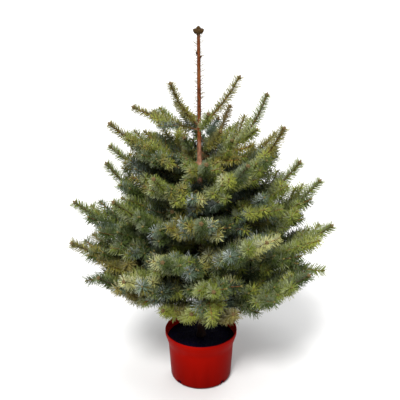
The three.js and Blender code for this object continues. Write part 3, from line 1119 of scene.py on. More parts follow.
def make_needle_tree() -> bpy.types.NodeTree:
    """Makes Needles on Strands: needles set round each strand in a spiral, swept forwards.

    Returns:
        The tree.
    """
    inputs = {
        "Spacing": "NodeSocketFloat",
        "Needle": "NodeSocketObject",
        "Width": "NodeSocketFloat",
        "Least Lean": "NodeSocketFloat",
        "Most Lean": "NodeSocketFloat",
        "Tip Lean": "NodeSocketFloat",
        "Lift": "NodeSocketFloat",
        "Roll": "NodeSocketFloat",
    }
    for tint in Tint:
        inputs |= {f"{tint.name} Upper": "NodeSocketMaterial", f"{tint.name} Under": "NodeSocketMaterial"}
    graph, entry = geometry_tree("Needles on Strands", inputs)
    curve = graph.add("GeometryNodeMeshToCurve", {"Mesh": entry["Strands"]}).outputs[0]
    spaced = {"Curve": curve, "Length": graph.math("MULTIPLY", entry["Spacing"], attribute(graph, "pitch"))}
    points = graph.add("GeometryNodeResampleCurve", spaced, mode="LENGTH").outputs[0]
    tangent = graph.add("GeometryNodeInputTangent").outputs[0]
    normal = graph.add("GeometryNodeInputNormal").outputs[0]
    index = graph.add("GeometryNodeInputIndex").outputs[0]
    jitter = random_value(graph, -0.5, 0.5, 3)
    spin = graph.math("MULTIPLY_ADD", index, GOLDEN_ANGLE, jitter)
    around = {"Vector": normal, "Axis": tangent, "Angle": spin}
    outward = graph.add("ShaderNodeVectorRotate", around).outputs[0]
    lift = graph.add("ShaderNodeCombineXYZ", {"Z": entry["Lift"]}).outputs[0]
    outward = graph.vector("NORMALIZE", graph.vector("ADD", outward, lift))
    along = graph.add("GeometryNodeSplineParameter").outputs["Factor"]
    near_tip = graph.math("POWER", along, TIP_CLOSING)
    lean = random_value(graph, entry["Least Lean"], entry["Most Lean"], 5)
    closing = {0: near_tip, 2: lean, 3: entry["Tip Lean"]}
    lean = graph.add("ShaderNodeMix", closing, data_type="FLOAT").outputs[0]
    forward = graph.scaled(tangent, graph.math("COSINE", lean))
    heading = graph.vector("ADD", forward, graph.scaled(outward, graph.math("SINE", lean)))
    aimed = graph.add("FunctionNodeAlignRotationToVector", {"Vector": heading}, axis="Z").outputs[0]
    facing = {"Rotation": aimed, "Vector": (0.0, 0.0, 1.0)}
    aimed = graph.add("FunctionNodeAlignRotationToVector", facing, axis="Y", pivot_axis="Z").outputs[0]
    roll = graph.math("MULTIPLY", entry["Roll"], random_value(graph, -1.0, 1.0, 11))
    about = graph.add("ShaderNodeCombineXYZ", {"Z": roll}).outputs[0]
    rolled = {"Rotation": aimed, "Rotate By": about}
    aimed = graph.add("FunctionNodeRotateRotation", rolled, rotation_space="LOCAL").outputs[0]
    spread = random_value(graph, *NEEDLE_SPREAD, 7)
    length = graph.math("MULTIPLY", attribute(graph, "needle"), spread)
    size = graph.add("ShaderNodeCombineXYZ", {0: entry["Width"], 1: entry["Width"], 2: length}).outputs[0]
    needle = graph.add("GeometryNodeObjectInfo", {"Object": entry["Needle"]}).outputs["Geometry"]
    placed = {"Points": points, "Instance": needle, "Rotation": aimed, "Scale": size}
    needles = graph.add("GeometryNodeInstanceOnPoints", placed).outputs[0]
    mesh = graph.add("GeometryNodeRealizeInstances", {"Geometry": needles}).outputs[0]
    under = attribute(graph, "under", "BOOLEAN")
    for number, tint in enumerate(Tint):
        dealt = {"A": attribute(graph, "tint"), "B": float(number), "Epsilon": 0.5}
        own = graph.add("FunctionNodeCompare", dealt, operation="EQUAL").outputs[0]
        upper = {"Geometry": mesh, "Selection": own, "Material": entry[f"{tint.name} Upper"]}
        mesh = graph.add("GeometryNodeSetMaterial", upper).outputs[0]
        below = graph.add("FunctionNodeBooleanMath", {0: own, 1: under}, operation="AND").outputs[0]
        lower = {"Geometry": mesh, "Selection": below, "Material": entry[f"{tint.name} Under"]}
        mesh = graph.add("GeometryNodeSetMaterial", lower).outputs[0]
    graph.add("NodeGroupOutput", {"Mesh": mesh})
    return graph.tree


def make_twig_tree() -> bpy.types.NodeTree:
    """Makes Twigs on Strands: a round twig along each strand, as thick as its girth says.

    Returns:
        The tree.
    """
    inputs = {"Sides": "NodeSocketInt", "Bark": "NodeSocketMaterial"}
    graph, entry = geometry_tree("Twigs on Strands", inputs)
    curve = graph.add("GeometryNodeMeshToCurve", {"Mesh": entry["Strands"]}).outputs[0]
    circle = {"Resolution": entry["Sides"], "Radius": 1.0}
    outline = graph.add("GeometryNodeCurvePrimitiveCircle", circle).outputs[0]
    swept = {"Curve": curve, "Profile Curve": outline, "Scale": attribute(graph, "girth")}
    mesh = graph.add("GeometryNodeCurveToMesh", {**swept, "Fill Caps": True}).outputs[0]
    mesh = graph.add("GeometryNodeRealizeInstances", {"Geometry": mesh}).outputs[0]
    barked = graph.add("GeometryNodeSetMaterial", {"Geometry": mesh, "Material": entry["Bark"]})
    graph.add("NodeGroupOutput", {"Mesh": barked.outputs[0]})
    return graph.tree


def make_bud_tree() -> bpy.types.NodeTree:
    """Makes Buds on Strands: a bud on the end of each strand, as large as its bud says.

    Returns:
        The tree.
    """
    inputs = {"Bud": "NodeSocketObject", "Scales": "NodeSocketMaterial"}
    graph, entry = geometry_tree("Buds on Strands", inputs)
    curve = graph.add("GeometryNodeMeshToCurve", {"Mesh": entry["Strands"]}).outputs[0]
    ends = graph.add("GeometryNodeCurveEndpointSelection", {"Start Size": 0, "End Size": 1}).outputs[0]
    tangent = graph.add("GeometryNodeInputTangent").outputs[0]
    aimed = graph.add("FunctionNodeAlignRotationToVector", {"Vector": tangent}, axis="Z").outputs[0]
    bud = graph.add("GeometryNodeObjectInfo", {"Object": entry["Bud"]}).outputs["Geometry"]
    placed = {"Points": curve, "Selection": ends, "Instance": bud, "Rotation": aimed}
    placed["Scale"] = attribute(graph, "bud")
    buds = graph.add("GeometryNodeInstanceOnPoints", placed).outputs[0]
    mesh = graph.add("GeometryNodeRealizeInstances", {"Geometry": buds}).outputs[0]
    scaled = graph.add("GeometryNodeSetMaterial", {"Geometry": mesh, "Material": entry["Scales"]})
    graph.add("NodeGroupOutput", {"Mesh": scaled.outputs[0]})
    return graph.tree


def make_crumb_tree() -> bpy.types.NodeTree:
    """Makes Crumbs on Ground: lumps scattered over the faces of a surface.

    Returns:
        The tree.
    """
    inputs = {
        "Crumb": "NodeSocketObject",
        "Density": "NodeSocketFloat",
        "Smallest": "NodeSocketFloat",
        "Largest": "NodeSocketFloat",
        "Seed": "NodeSocketInt",
        "Peat": "NodeSocketMaterial",
    }
    graph, entry = geometry_tree("Crumbs on Ground", inputs)
    spread = {"Mesh": entry["Strands"], "Density": entry["Density"], "Seed": entry["Seed"]}
    points = graph.add("GeometryNodeDistributePointsOnFaces", spread).outputs[0]
    crumb = graph.add("GeometryNodeObjectInfo", {"Object": entry["Crumb"]}).outputs["Geometry"]
    turn = {0: (0.0, 0.0, 0.0), 1: (math.tau, math.tau, math.tau)}
    spin = graph.add("FunctionNodeRandomValue", turn, data_type="FLOAT_VECTOR").outputs[0]
    share = graph.math("POWER", random_value(graph, 0.0, 1.0, 9), 3.0)
    bounds = {0: share, 2: entry["Smallest"], 3: entry["Largest"]}
    size = graph.add("ShaderNodeMix", bounds, data_type="FLOAT").outputs[0]
    placed = {"Points": points, "Instance": crumb, "Rotation": spin, "Scale": size}
    crumbs = graph.add("GeometryNodeInstanceOnPoints", placed).outputs[0]
    mesh = graph.add("GeometryNodeRealizeInstances", {"Geometry": crumbs}).outputs[0]
    finished = graph.add("GeometryNodeSetMaterial", {"Geometry": mesh, "Material": entry["Peat"]})
    graph.add("NodeGroupOutput", {"Mesh": finished.outputs[0]})
    return graph.tree


def grown(
    name: str, base: bpy.types.Object, tree: bpy.types.NodeTree, **values: object
) -> bpy.types.Object:
    """Runs a geometry tree on a base object and keeps what it makes as a plain mesh.

    Args:
        name: The name of the piece that it makes.
        base: The object whose mesh goes in. It's left as it was.
        tree: The tree.
        values: The tree's inputs, named with _ for each space.

    Returns:
        The new piece.
    """
    sockets = {item.name: item.identifier for item in tree.interface.items_tree if item.in_out == "INPUT"}
    modifier = base.modifiers.new("grow", "NODES")
    modifier.node_group = tree
    for label, value in values.items():
        modifier[sockets[label.replace("_", " ")]] = value
    evaluated = base.evaluated_get(bpy.context.evaluated_depsgraph_get())
    mesh = bpy.data.meshes.new_from_object(evaluated)
    base.modifiers.remove(modifier)
    for label in STRAND_VALUES:
        if label in mesh.attributes:
            mesh.attributes.remove(mesh.attributes[label])
    mesh.name = name
    piece = bpy.data.objects.new(name, mesh)
    bpy.context.scene.collection.objects.link(piece)
    return piece


def strand_object(
    name: str, shoots: Sequence[Shoot], step: float, stretch: float = 1.0
) -> bpy.types.Object:
    """Makes the strands that needles, twigs and buds grow on.

    Args:
        name: The object's name.
        shoots: The shoots, one strand each.
        step: How far apart a strand's points are.
        stretch: How many times the shoots' own length the needles have.

    Returns:
        An object of edges, whose points carry needle, girth, bud, tint and pitch.
    """
    points, edges, first = [], [], 0
    values = {"needle": [], "girth": [], "bud": [], "tint": [], "pitch": []}
    for shoot in shoots:
        shares = shoot.shares(step)
        count = len(shares)
        along = (shares - shares[0]) / (shares[-1] - shares[0])
        points.append(shoot.path.point(shares))
        edges += [(first + k, first + k + 1) for k in range(count - 1)]
        first += count
        values["needle"].append(shoot.needle_at(along) * stretch)
        values["girth"].append(shoot.girth_at(shares))
        values["bud"].append(np.full(count, shoot.bud))
        values["pitch"].append(np.full(count, shoot.pitch))
        values["tint"].append(np.full(count, float(list(Tint).index(shoot.tint))))
    mesh = bpy.data.meshes.new(name)
    mesh.from_pydata(np.vstack(points).tolist(), edges, [])
    for label, rows in values.items():
        mesh.attributes.new(label, "FLOAT", "POINT").data.foreach_set("value", np.concatenate(rows))
    strands = bpy.data.objects.new(name, mesh)
    bpy.context.scene.collection.objects.link(strands)
    return strands


# ---- foliage ----------------------------------------------------------------------------------


class Zone(Enum):
    """The parts of the crown, each with the tints that are dealt to its sprays."""

    TOP = (Tint.LEAF, Tint.OLIVE, Tint.LEAF, Tint.DEEP, Tint.BLUE, Tint.FRESH)
    LEFT = (Tint.BLUE, Tint.DEEP, Tint.LEAF, Tint.DEEP, Tint.OLIVE, Tint.DEEP, Tint.LEAF)
    FRONT = (Tint.LEAF, Tint.SHADE, Tint.PALE, Tint.LEAF, Tint.DEEP, Tint.OLIVE, Tint.FRESH, Tint.BLUE)
    RIGHT = (Tint.LEAF, Tint.FRESH, Tint.LEAF, Tint.DEEP, Tint.BLUE, Tint.LEAF)
    BACK = (Tint.DEEP, Tint.LEAF, Tint.BLUE, Tint.LEAF, Tint.OLIVE, Tint.DEEP)
    LOW_LEFT = (Tint.TAN, Tint.OLIVE, Tint.OLIVE, Tint.LEAF, Tint.TAN, Tint.BLUE, Tint.DEEP)
    LOW_RIGHT = (Tint.FRESH, Tint.LEAF, Tint.DEEP, Tint.LEAF, Tint.DEEP)
    SKIRT = (Tint.FRESH, Tint.OLIVE, Tint.DEEP, Tint.TAN, Tint.FRESH)
    LEADER = (Tint.BRONZE, Tint.OLIVE)
    # old shoots deep in the crown: dark tints, partly their age and partly painted shade
    INNER = (Tint.SHADE, Tint.DEEP, Tint.SHADE)
    STEM = (Tint.LEAF, Tint.DEEP, Tint.LEAF, Tint.BLUE, Tint.OLIVE)
    TIPS = (Tint.OLIVE, Tint.OLIVE, Tint.BRONZE, Tint.OLIVE, Tint.LEAF)

    @classmethod
    def of(cls, shoot: "Shoot") -> "Zone":
        """Finds the zone that a shoot is in.

        Args:
            shoot: The shoot.

        Returns:
            The zone.
        """
        bough = shoot.bough
        low = bough.letter in "fgh"
        front = FRONT_TURNS[0] <= bough.turn < FRONT_TURNS[1]
        if bough.letter == LEADER_LETTER:
            return cls.LEADER
        if shoot.order and shoot.inner and bough.letter not in "ah":
            return cls.INNER
        if bough.letter in "abc" and not shoot.order and not front:
            return cls.TIPS
        if bough.letter in "ab":
            return cls.TOP
        if bough.letter == "h" or bough.path.tip[2] < SKIRT_TOP:
            return cls.SKIRT
        if bough.letter == STEM_LETTER:
            return cls.STEM
        if front:
            return cls.FRONT
        if LEFT_FROM <= bough.turn < FRONT_TURNS[0]:
            return cls.LOW_LEFT if low else cls.LEFT
        if bough.turn >= FRONT_TURNS[1] or bough.turn < RIGHT_TO:
            return cls.LOW_RIGHT if low else cls.RIGHT
        return cls.BACK


@dataclass
class Foliage:
    """The needles, twigs and buds of the whole crown, in pieces by whorl."""

    growth: Growth
    needle_stretch: float = 1.42  # needles' length against the solids' teeth
    spacing: float = 0.00070  # along a shoot of the usual pitch
    width: float = 0.0033  # of a needle's foot
    keel: float = 0.34  # depth of the thin edge at a needle's tip, as a share of its foot's width
    lean: Span = (54.0, 80.0)  # between a needle and its shoot
    tip_lean: float = 50.0  # and at the shoot's tip
    lift: float = -0.10  # how much needles rise, so these droop a little
    roll: float = 42.0  # how far a needle turns about its own line
    strand_step: float = 0.012
    twig_sides: int = 5
    bud_length: float = 0.0108
    bud_radius: float = 0.0044
    cluster: int = 5  # smaller buds round a bough's end bud
    cluster_lean: float = 56.0
    cluster_size: float = 0.8
    leader_spacing: float = 0.0019
    leader_width: float = 0.0028

    def needle_mesh(self) -> bpy.types.Object:
        """Makes one needle along +Z, 1 long and 1 wide at its foot, with a thin upright edge as tip.

        Returns:
            The pattern, whose paler faces are marked as under.
        """
        deep = self.keel / 2
        vertices = [(-0.5, 0, 0), (0.5, 0, 0), (0, deep, 1), (0, -deep, 1)]
        faces = [(0, 1, 2), (1, 0, 3), (1, 3, 2), (0, 2, 3)]
        pale = (1, 2)
        needle = mesh_object("needle_pattern", vertices, faces, smooth=False)
        under = needle.data.attributes.new("under", "BOOLEAN", "FACE")
        under.data.foreach_set("value", [face in pale for face in range(len(faces))])
        return needle

    def bud_mesh(self, name: str, cluster: int) -> bpy.types.Object:
        """Makes a pointed bud along +Z, with smaller ones leaning out round it.

        Args:
            name: The pattern's name.
            cluster: How many smaller buds there are.

        Returns:
            The pattern.
        """
        line = ((0, -0.3), (0.75, 0), (1.0, 0.3), (0.62, 0.72), (0, 1.0))
        bud = lathe(name, [(r * self.bud_radius, z * self.bud_length) for r, z in line], 6)
        points = np.array([vertex.co for vertex in bud.data.vertices])
        faces = [tuple(polygon.vertices) for polygon in bud.data.polygons]
        if not cluster:
            return bud
        discard(bud)
        vertices, all_faces = [points], list(faces)
        for number in range(cluster):
            turn, lean = number / cluster * math.tau, math.radians(self.cluster_lean)
            tilt = np.array(Matrix.Rotation(turn, 3, "Z") @ Matrix.Rotation(lean, 3, "Y"))
            first = len(points) * (number + 1)
            vertices.append(points * self.cluster_size @ tilt.T)
            all_faces += [tuple(first + corner for corner in face) for face in faces]
        return mesh_object(name, np.vstack(vertices), all_faces)

    def dress(self, piece: bpy.types.Object) -> bpy.types.Object:
        """Rides a grown piece on the tree.

        Args:
            piece: The piece.

        Returns:
            The same piece.
        """
        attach(piece, BODY)
        log.info("%s: %d faces", piece.name, len(piece.data.polygons))
        return piece

    def needles(self) -> list[Shoot]:
        """Grows the needles, a piece for each half of a whorl and one for the leader.

        Returns:
            Every shoot that needles grew on.
        """
        needle, tree = self.needle_mesh(), make_needle_tree()
        materials = {}
        for tint in Tint:
            upper, under = (finish.material() for finish in tint.finishes())
            materials |= {f"{tint.name}_Upper": upper, f"{tint.name}_Under": under}
        shape = {
            "Spacing": self.spacing,
            "Needle": needle,
            "Width": self.width,
            "Least_Lean": math.radians(self.lean[0]),
            "Most_Lean": math.radians(self.lean[1]),
            "Tip_Lean": math.radians(self.tip_lean),
            "Lift": self.lift,
            "Roll": math.radians(self.roll),
            **materials,
        }
        every = []
        boughs = [*self.growth.boughs, *self.growth.stem_twigs()]
        for letter in "abcdefgh" + STEM_LETTER:
            whorl = [bough for bough in boughs if bough.letter == letter]
            halves = {"left": [b for b in whorl if 90 <= b.turn < 270]}
            halves["right"] = [b for b in whorl if b not in halves["left"]]
            for half, chosen in halves.items():
                shoots = [shoot for bough in chosen for shoot in self.growth.shoots(bough)]
                every += shoots
                strands = strand_object("strands", shoots, self.strand_step, self.needle_stretch)
                piece = self.dress(grown(f"needles_{letter}_{half}", strands, tree, **shape))
                if letter != STEM_LETTER:
                    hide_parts(*(f"foliage_{bough.name}" for bough in chosen))
                discard(strands)
        leader = strand_object("strands", [self.growth.leader()], self.strand_step)
        shape |= {"Spacing": self.leader_spacing, "Width": self.leader_width, "Lift": 0.0}
        self.dress(grown("needles_leader", leader, tree, **shape))
        discard(leader)
        discard(needle)
        return every

    def build(self) -> None:
        """Grows the foliage."""
        shoots = self.needles()
        young = LeafFinish("twig_young_bark", linear(134, 86, 46), 0.75, 0.2).material()
        scales = LeafFinish("bud_scales", linear(88, 70, 38), 0.6, 0.3).material()
        green = LeafFinish("bud_scales_green", linear(98, 88, 44), 0.6, 0.3).material()
        twigs, buds = make_twig_tree(), make_bud_tree()
        cluster, single = self.bud_mesh("bud_cluster", self.cluster), self.bud_mesh("bud_pattern", 0)
        for name, chosen, tree, values in (
            ("twigs", [s for s in shoots if s.order], twigs, {"Sides": self.twig_sides, "Bark": young}),
            ("tip_buds", [s for s in shoots if s.order == 0], buds, {"Bud": cluster, "Scales": scales}),
            ("shoot_buds", [s for s in shoots if s.order > 0], buds, {"Bud": single, "Scales": green}),
        ):
            strands = strand_object("strands", chosen, self.strand_step)
            self.dress(grown(name, strands, tree, **values))
            discard(strands)
        discard(cluster)
        discard(single)


# ---- trunk and boughs -------------------------------------------------------------------------


def rough(point: Vector, scale: float, stretch: float) -> float:
    """Returns noise from -1 to 1 at a point, drawn out upwards."""
    place = Vector((point.x * scale, point.y * scale, point.z * scale / stretch))
    return noise.noise(place) * 0.7 + noise.noise(place * 2.3) * 0.3


def tube(
    points: np.ndarray, radii: np.ndarray, sides: int, reference: np.ndarray = UP
) -> np.ndarray:
    """Gives the rings of a tube along a line of points.

    Args:
        points: The line, one point a row.
        radii: The tube's radius at each.
        sides: How many points a ring has.
        reference: What counts as upright.

    Returns:
        The rings' points, as an array of rings by sides by 3.
    """
    tangents = unit(np.gradient(points, axis=0))
    level, upright = across(tangents, reference)
    turns = np.arange(sides) / sides * 2 * math.pi
    sideways = np.cos(turns)[None, :, None] * level[:, None]
    upwards = np.sin(turns)[None, :, None] * upright[:, None]
    return points[:, None] + (sideways + upwards) * np.asarray(radii)[:, None, None]


def roughened(
    rings: np.ndarray, centres: np.ndarray, depth: np.ndarray, scale: float, stretch: float
) -> np.ndarray:
    """Pushes the points of rings in and out from their centres by noise.

    Args:
        rings: The rings, as tube gives them.
        centres: Each ring's centre.
        depth: How far at most, for each ring.
        scale: Lumps a metre.
        stretch: How much longer than wide the lumps are.

    Returns:
        The rough rings.
    """
    outward = unit(rings - centres[:, None])
    push = np.array([[rough(Vector(point), scale, stretch) for point in ring] for ring in rings])
    return rings + outward * (push * depth[:, None])[..., None]


@dataclass
class Wood:
    """The trunk and the boughs, as tubes with the bark's relief."""

    growth: Growth
    trunk_sides: int = 28
    trunk_step: float = 0.0028
    node_swell: float = 0.16  # of the trunk at a whorl
    node_height: float = 0.009
    flare_lobes: int = 5
    flare_height: float = 0.03
    flare_depth: float = 0.1
    relief: float = 0.0009
    bough_sides: int = 10
    bough_step: float = 0.005
    bough_swell: float = 1.35  # of a bough's foot against its stem's radius
    bough_collar: float = 0.12  # share of a bough over which its foot narrows, at least
    bough_tip: float = 0.0020
    bough_relief: float = 0.16  # of a bough's radius
    bough_lumps: float = 220.0
    leader_swell: float = 0.0015  # of the leader, for the scars that its needles left
    leader_span: Span = (0.80, 0.86)  # heights between which that swell sets in
    lumps: float = 170.0  # a metre round the trunk
    lump_stretch: float = 3.0

    def trunk(self) -> bpy.types.Object:
        """Makes the trunk, from the compost to the tip under its buds.

        Returns:
            The finished piece.
        """
        stem = self.growth.stem
        count = int((stem.tip - stem.foot) / self.trunk_step)
        heights = np.linspace(stem.foot, stem.tip, count)
        radii = stem.radius(heights)
        for whorl in WHORLS:
            bulge = np.exp(-(((heights - whorl.height) / self.node_height) ** 2))
            radii = radii * (1 + self.node_swell * bulge)
        radii = radii + self.leader_swell * np.interp(heights, self.leader_span, (0, 1))
        centres = stem.centre(heights)
        rings = tube(centres, radii, self.trunk_sides, BACK)
        turns = np.arange(self.trunk_sides) / self.trunk_sides * 2 * math.pi
        flare = np.exp(-(heights - stem.foot) / self.flare_height)[:, None]
        lobes = 1 + self.flare_depth * flare * np.cos(self.flare_lobes * turns)
        rings = centres[:, None] + (rings - centres[:, None]) * lobes[..., None]
        depth = self.relief * radii / radii[0]
        rings = roughened(rings, centres, depth, self.lumps, self.lump_stretch)
        vertices = rings.reshape(-1, 3)
        trunk = mesh_object("trunk_bark", vertices, ring_faces(count, self.trunk_sides))
        # the near-black stops up to 0.50 are painted shade on the trunk's foot under the crown
        stops = (
            (0.30, linear(14, 10, 10)),
            (0.50, linear(40, 31, 26)),
            (0.66, linear(196, 148, 122)),
            (0.76, linear(196, 148, 122)),
            (0.85, linear(104, 50, 22)),
        )
        finish = BarkFinish("trunk_bark", stops, linear(186, 114, 56), linear(44, 24, 16))
        trunk.data.materials.append(finish.material())
        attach(trunk, BODY)
        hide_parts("trunk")
        return trunk

    def limb(self, bough: Bough) -> tuple[np.ndarray, int]:
        """Gives one bough's limb, from inside the trunk to its tip.

        Args:
            bough: The bough.

        Returns:
            The rings' points, and how many rings there are.
        """
        count = int(bough.path.length() / self.bough_step)
        shares = np.linspace(0, 1, count)
        centres = bough.path.point(shares)
        stem = bough.whorl.stem
        levels = (0, max(bough.whorl.bare, self.bough_collar), 1)
        radii = np.interp(shares, levels, (stem * self.bough_swell, stem, self.bough_tip))
        rings = tube(centres, radii, self.bough_sides)
        return roughened(rings, centres, radii * self.bough_relief, self.bough_lumps, 1.0), count

    def limbs(self) -> bpy.types.Object:
        """Makes all the boughs' limbs as one piece.

        Returns:
            The finished piece.
        """
        vertices, faces, first = [], [], 0
        for bough in self.growth.boughs:
            rings, count = self.limb(bough)
            vertices.append(rings.reshape(-1, 3))
            faces += ring_faces(count, self.bough_sides, first)
            first += count * self.bough_sides
        limbs = mesh_object("bough_bark", np.vstack(vertices), faces)
        stops = ((0.45, linear(82, 70, 56)), (0.85, linear(112, 78, 46)))
        finish = BarkFinish("bough_bark", stops, linear(140, 112, 84), linear(42, 34, 28))
        limbs.data.materials.append(finish.material())
        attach(limbs, BODY)
        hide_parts(*(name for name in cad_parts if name.startswith("bough_")))
        return limbs


@dataclass
class Leader:
    """The bare leader's own dress: its cluster of buds and its side buds. Its thin needles grow with the
    foliage.
    """

    growth: Growth
    length: float = 0.0180
    radius: float = 0.0074
    round_tip: int = 7  # buds round the end bud
    round_size: float = 0.95
    first_turn: float = 20.0
    lean: float = 62.0
    side_buds: tuple[Span, ...] = ((0.058, 180.0), (0.068, 350.0))  # below the tip, and turn
    side_lean: float = 55.0
    side_size: float = 0.55
    scale_rows: int = 4
    rings: int = 13
    sides: int = 10

    def bud(self, base: np.ndarray, turn: float, lean: float, size: float) -> np.ndarray:
        """Shapes one bud with overlapping scales.

        Args:
            base: Where it stands.
            turn: The compass angle that it leans to.
            lean: How far it leans off the upright.
            size: Its size against the end bud.

        Returns:
            The rings' points.
        """
        shares = np.linspace(0, 1, self.rings)
        swell = np.interp(shares, (0, 0.12, 0.35, 0.62, 0.85, 1), (0.5, 0.86, 1.0, 0.92, 0.62, 0.1))
        step = (shares * self.scale_rows) % 1.0
        angles = np.arange(self.sides) / self.sides * 2 * math.pi
        row = np.floor(shares * self.scale_rows)
        petals = 0.1 * np.cos(2.5 * angles[None] + row[:, None] * math.pi) * (1 - step)[:, None]
        radii = self.radius * size * (swell * (1.08 - 0.16 * step))[:, None] * (1 + petals)
        heights = (shares * 1.05 - 0.05) * self.length * size
        flat = np.stack([np.cos(angles), np.sin(angles), np.zeros(self.sides)], axis=1)
        rings = flat[None] * radii[..., None] + heights[:, None, None] * UP
        tilt, spin = math.radians(lean), math.radians(turn)
        across_tilt = np.array(
            [[math.cos(tilt), 0, math.sin(tilt)], [0, 1, 0], [-math.sin(tilt), 0, math.cos(tilt)]]
        )
        about = np.array(
            [[math.cos(spin), -math.sin(spin), 0], [math.sin(spin), math.cos(spin), 0], [0, 0, 1]]
        )
        return rings @ (about @ across_tilt).T + base

    def buds(self) -> bpy.types.Object:
        """Makes the buds on the leader's tip and sides.

        Returns:
            The finished piece.
        """
        stem = self.growth.stem
        top = stem.centre(stem.tip)
        places = [(top, 0.0, 0.0, 1.0)]
        for number in range(self.round_tip):
            turn = self.first_turn + number / self.round_tip * 360
            places.append((top, turn, self.lean, self.round_size))
        for below, turn in self.side_buds:
            places.append((stem.centre(stem.tip - below), turn, self.side_lean, self.side_size))
        vertices, faces = [], []
        for number, place in enumerate(places):
            vertices.append(self.bud(*place).reshape(-1, 3))
            faces += ring_faces(self.rings, self.sides, number * self.rings * self.sides)
        buds = mesh_object("leader_buds", np.vstack(vertices), faces)
        stops = ((1.064, linear(58, 20, 10)), (1.080, linear(62, 46, 16)))
        finish = BarkFinish(
            "leader_bud_scales", stops, linear(92, 62, 24), linear(24, 8, 4),
            fissures=Grain(500, (1.0, 1.0, 0.5), 3.0, 3.0),
            patches=Grain(150, (1.0, 1.0, 1.0), 2.0, 2.0),
            relief=0.0004,
        )
        buds.data.materials.append(finish.material())
        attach(buds, BODY)
        return buds


# ---- pot and compost --------------------------------------------------------------------------


def arc(centre: Span, radius: float, start: float, end: float, steps: int) -> Line:
    """Gives points on an arc in the plane of radius and height.

    Args:
        centre: The arc's centre.
        radius: Its radius.
        start: The angle that it starts at, from the level.
        end: The angle that it ends at.
        steps: How many steps it takes.

    Returns:
        The points.
    """
    angles = np.radians(np.linspace(start, end, steps + 1))
    return [(centre[0] + radius * math.cos(a), centre[1] + radius * math.sin(a)) for a in angles]


@dataclass
class Pot:
    """The round nursery pot, moulded in one piece with a flared lip and drain slots."""

    height: float = field(default_factory=lambda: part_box("pot")[1].z)
    lip_radius: float = field(default_factory=lambda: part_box("pot")[1].x)
    lip_drop: float = 0.013
    lip_step: float = 0.0012
    flare_drop: float = 0.050
    body_top: float = 0.0995
    body_foot: float = 0.0935
    corner: float = 0.013
    wall: float = 0.002
    edge_round: float = 0.0014  # radius of the lip's top edge
    inner_bevel: float = 0.0008
    band_in: float = 0.0004  # how far the band's lower edge is drawn in
    band_rise: Span = (0.0006, 0.0016)  # heights over which it is
    floor_corner: float = 0.004
    foot_ring: float = 0.068  # radius where the underside rises
    foot_rise: float = 0.0022
    sides: int = 128
    slots: int = 4
    slot_size: tuple[float, float, float] = (0.020, 0.015, 0.015)
    slot_radius: float = 0.090
    slot_above: float = 0.0024
    slot_bevel: float = 0.0018

    def outer_line(self) -> Line:
        """Gives the outer line from the underside's edge to the lip's top edge.

        Returns:
            The line.
        """
        corner = arc((self.body_foot - self.corner, self.corner), self.corner, -90, 0, 8)
        flare_foot = self.height - self.flare_drop
        band_foot = self.height - self.lip_drop
        band = self.lip_radius - self.lip_step
        line = corner
        for share in np.linspace(0.1, 1.0, 8):
            radius = between(self.body_foot, self.body_top, share)
            line.append((radius, between(self.corner, flare_foot, share)))
        for share in np.linspace(0.12, 1.0, 9):
            out = share**2 * (3 - 2 * share) * 0.55 + share**1.5 * 0.45  # an S that leans outwards
            line.append((between(self.body_top, band, out), between(flare_foot, band_foot, share)))
        low, high = self.band_rise
        line.append((self.lip_radius - self.band_in, band_foot + low))
        line.append((self.lip_radius, band_foot + high))
        round_edge = self.edge_round
        line.append((self.lip_radius, self.height - 2.4 * round_edge))
        line += arc((self.lip_radius - round_edge, self.height - round_edge), round_edge, 10, 90, 5)
        return line

    def inner_line(self) -> Line:
        """Gives the inner line, from the floor's edge up to the lip.

        Returns:
            The line.
        """
        floor = self.foot_rise + self.wall
        inner = [(radius - self.wall, height) for radius, height in self.outer_line()]
        inner = [point for point in inner if floor < point[1] < self.height - self.lip_drop]
        lip = self.lip_radius - self.wall - self.lip_step
        edge = [(lip, self.height - self.edge_round), (lip + self.inner_bevel, self.height)]
        return [(inner[0][0] - self.floor_corner, floor), *inner, *edge]

    def line(self) -> Line:
        """Gives the whole line, from the middle of the underside round to the middle inside.

        Returns:
            The line.
        """
        rise = self.foot_rise
        underside = [(0, rise), (self.foot_ring - rise, rise), (self.foot_ring, 0)]
        inside = list(reversed(self.inner_line()))
        return [*underside, *self.outer_line(), *inside, (0, rise + self.wall)]

    def cutters(self) -> bpy.types.Object:
        """Makes the boxes that cut the drain slots.

        Returns:
            The boxes, as one object.
        """
        depth, width, height = self.slot_size
        vertices, faces = [], []
        for slot in range(self.slots):
            turn = (slot + 0.5) / self.slots * math.tau
            out = np.array([math.cos(turn), math.sin(turn), 0])
            side = np.array([-math.sin(turn), math.cos(turn), 0])
            middle = out * self.slot_radius + UP * (self.slot_above + height / 2)
            for z in (-0.5, 0.5):
                for a, b in ((-0.5, -0.5), (0.5, -0.5), (0.5, 0.5), (-0.5, 0.5)):
                    vertices.append(middle + out * depth * a + side * width * b + UP * height * z)
            faces += ring_faces(2, 4, slot * 8)
        cutters = mesh_object("slot_cutters", vertices, faces, smooth=False)
        bevel = cutters.modifiers.new("round", "BEVEL")
        bevel.width, bevel.segments = self.slot_bevel, 3
        return applied(cutters)

    def build(self) -> bpy.types.Object:
        """Makes the pot.

        Returns:
            The finished piece.
        """
        pot = lathe("pot_plastic", self.line(), self.sides)
        cutters = self.cutters()
        cut = pot.modifiers.new("slots", "BOOLEAN")
        cut.object, cut.operation, cut.solver = cutters, "DIFFERENCE", "EXACT"
        applied(pot)
        discard(cutters)
        pot.data.set_sharp_from_angle(angle=math.radians(32))
        pot.data.materials.clear()
        pot.data.materials.append(PlasticFinish().material())
        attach(pot, BODY)
        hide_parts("pot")
        return pot


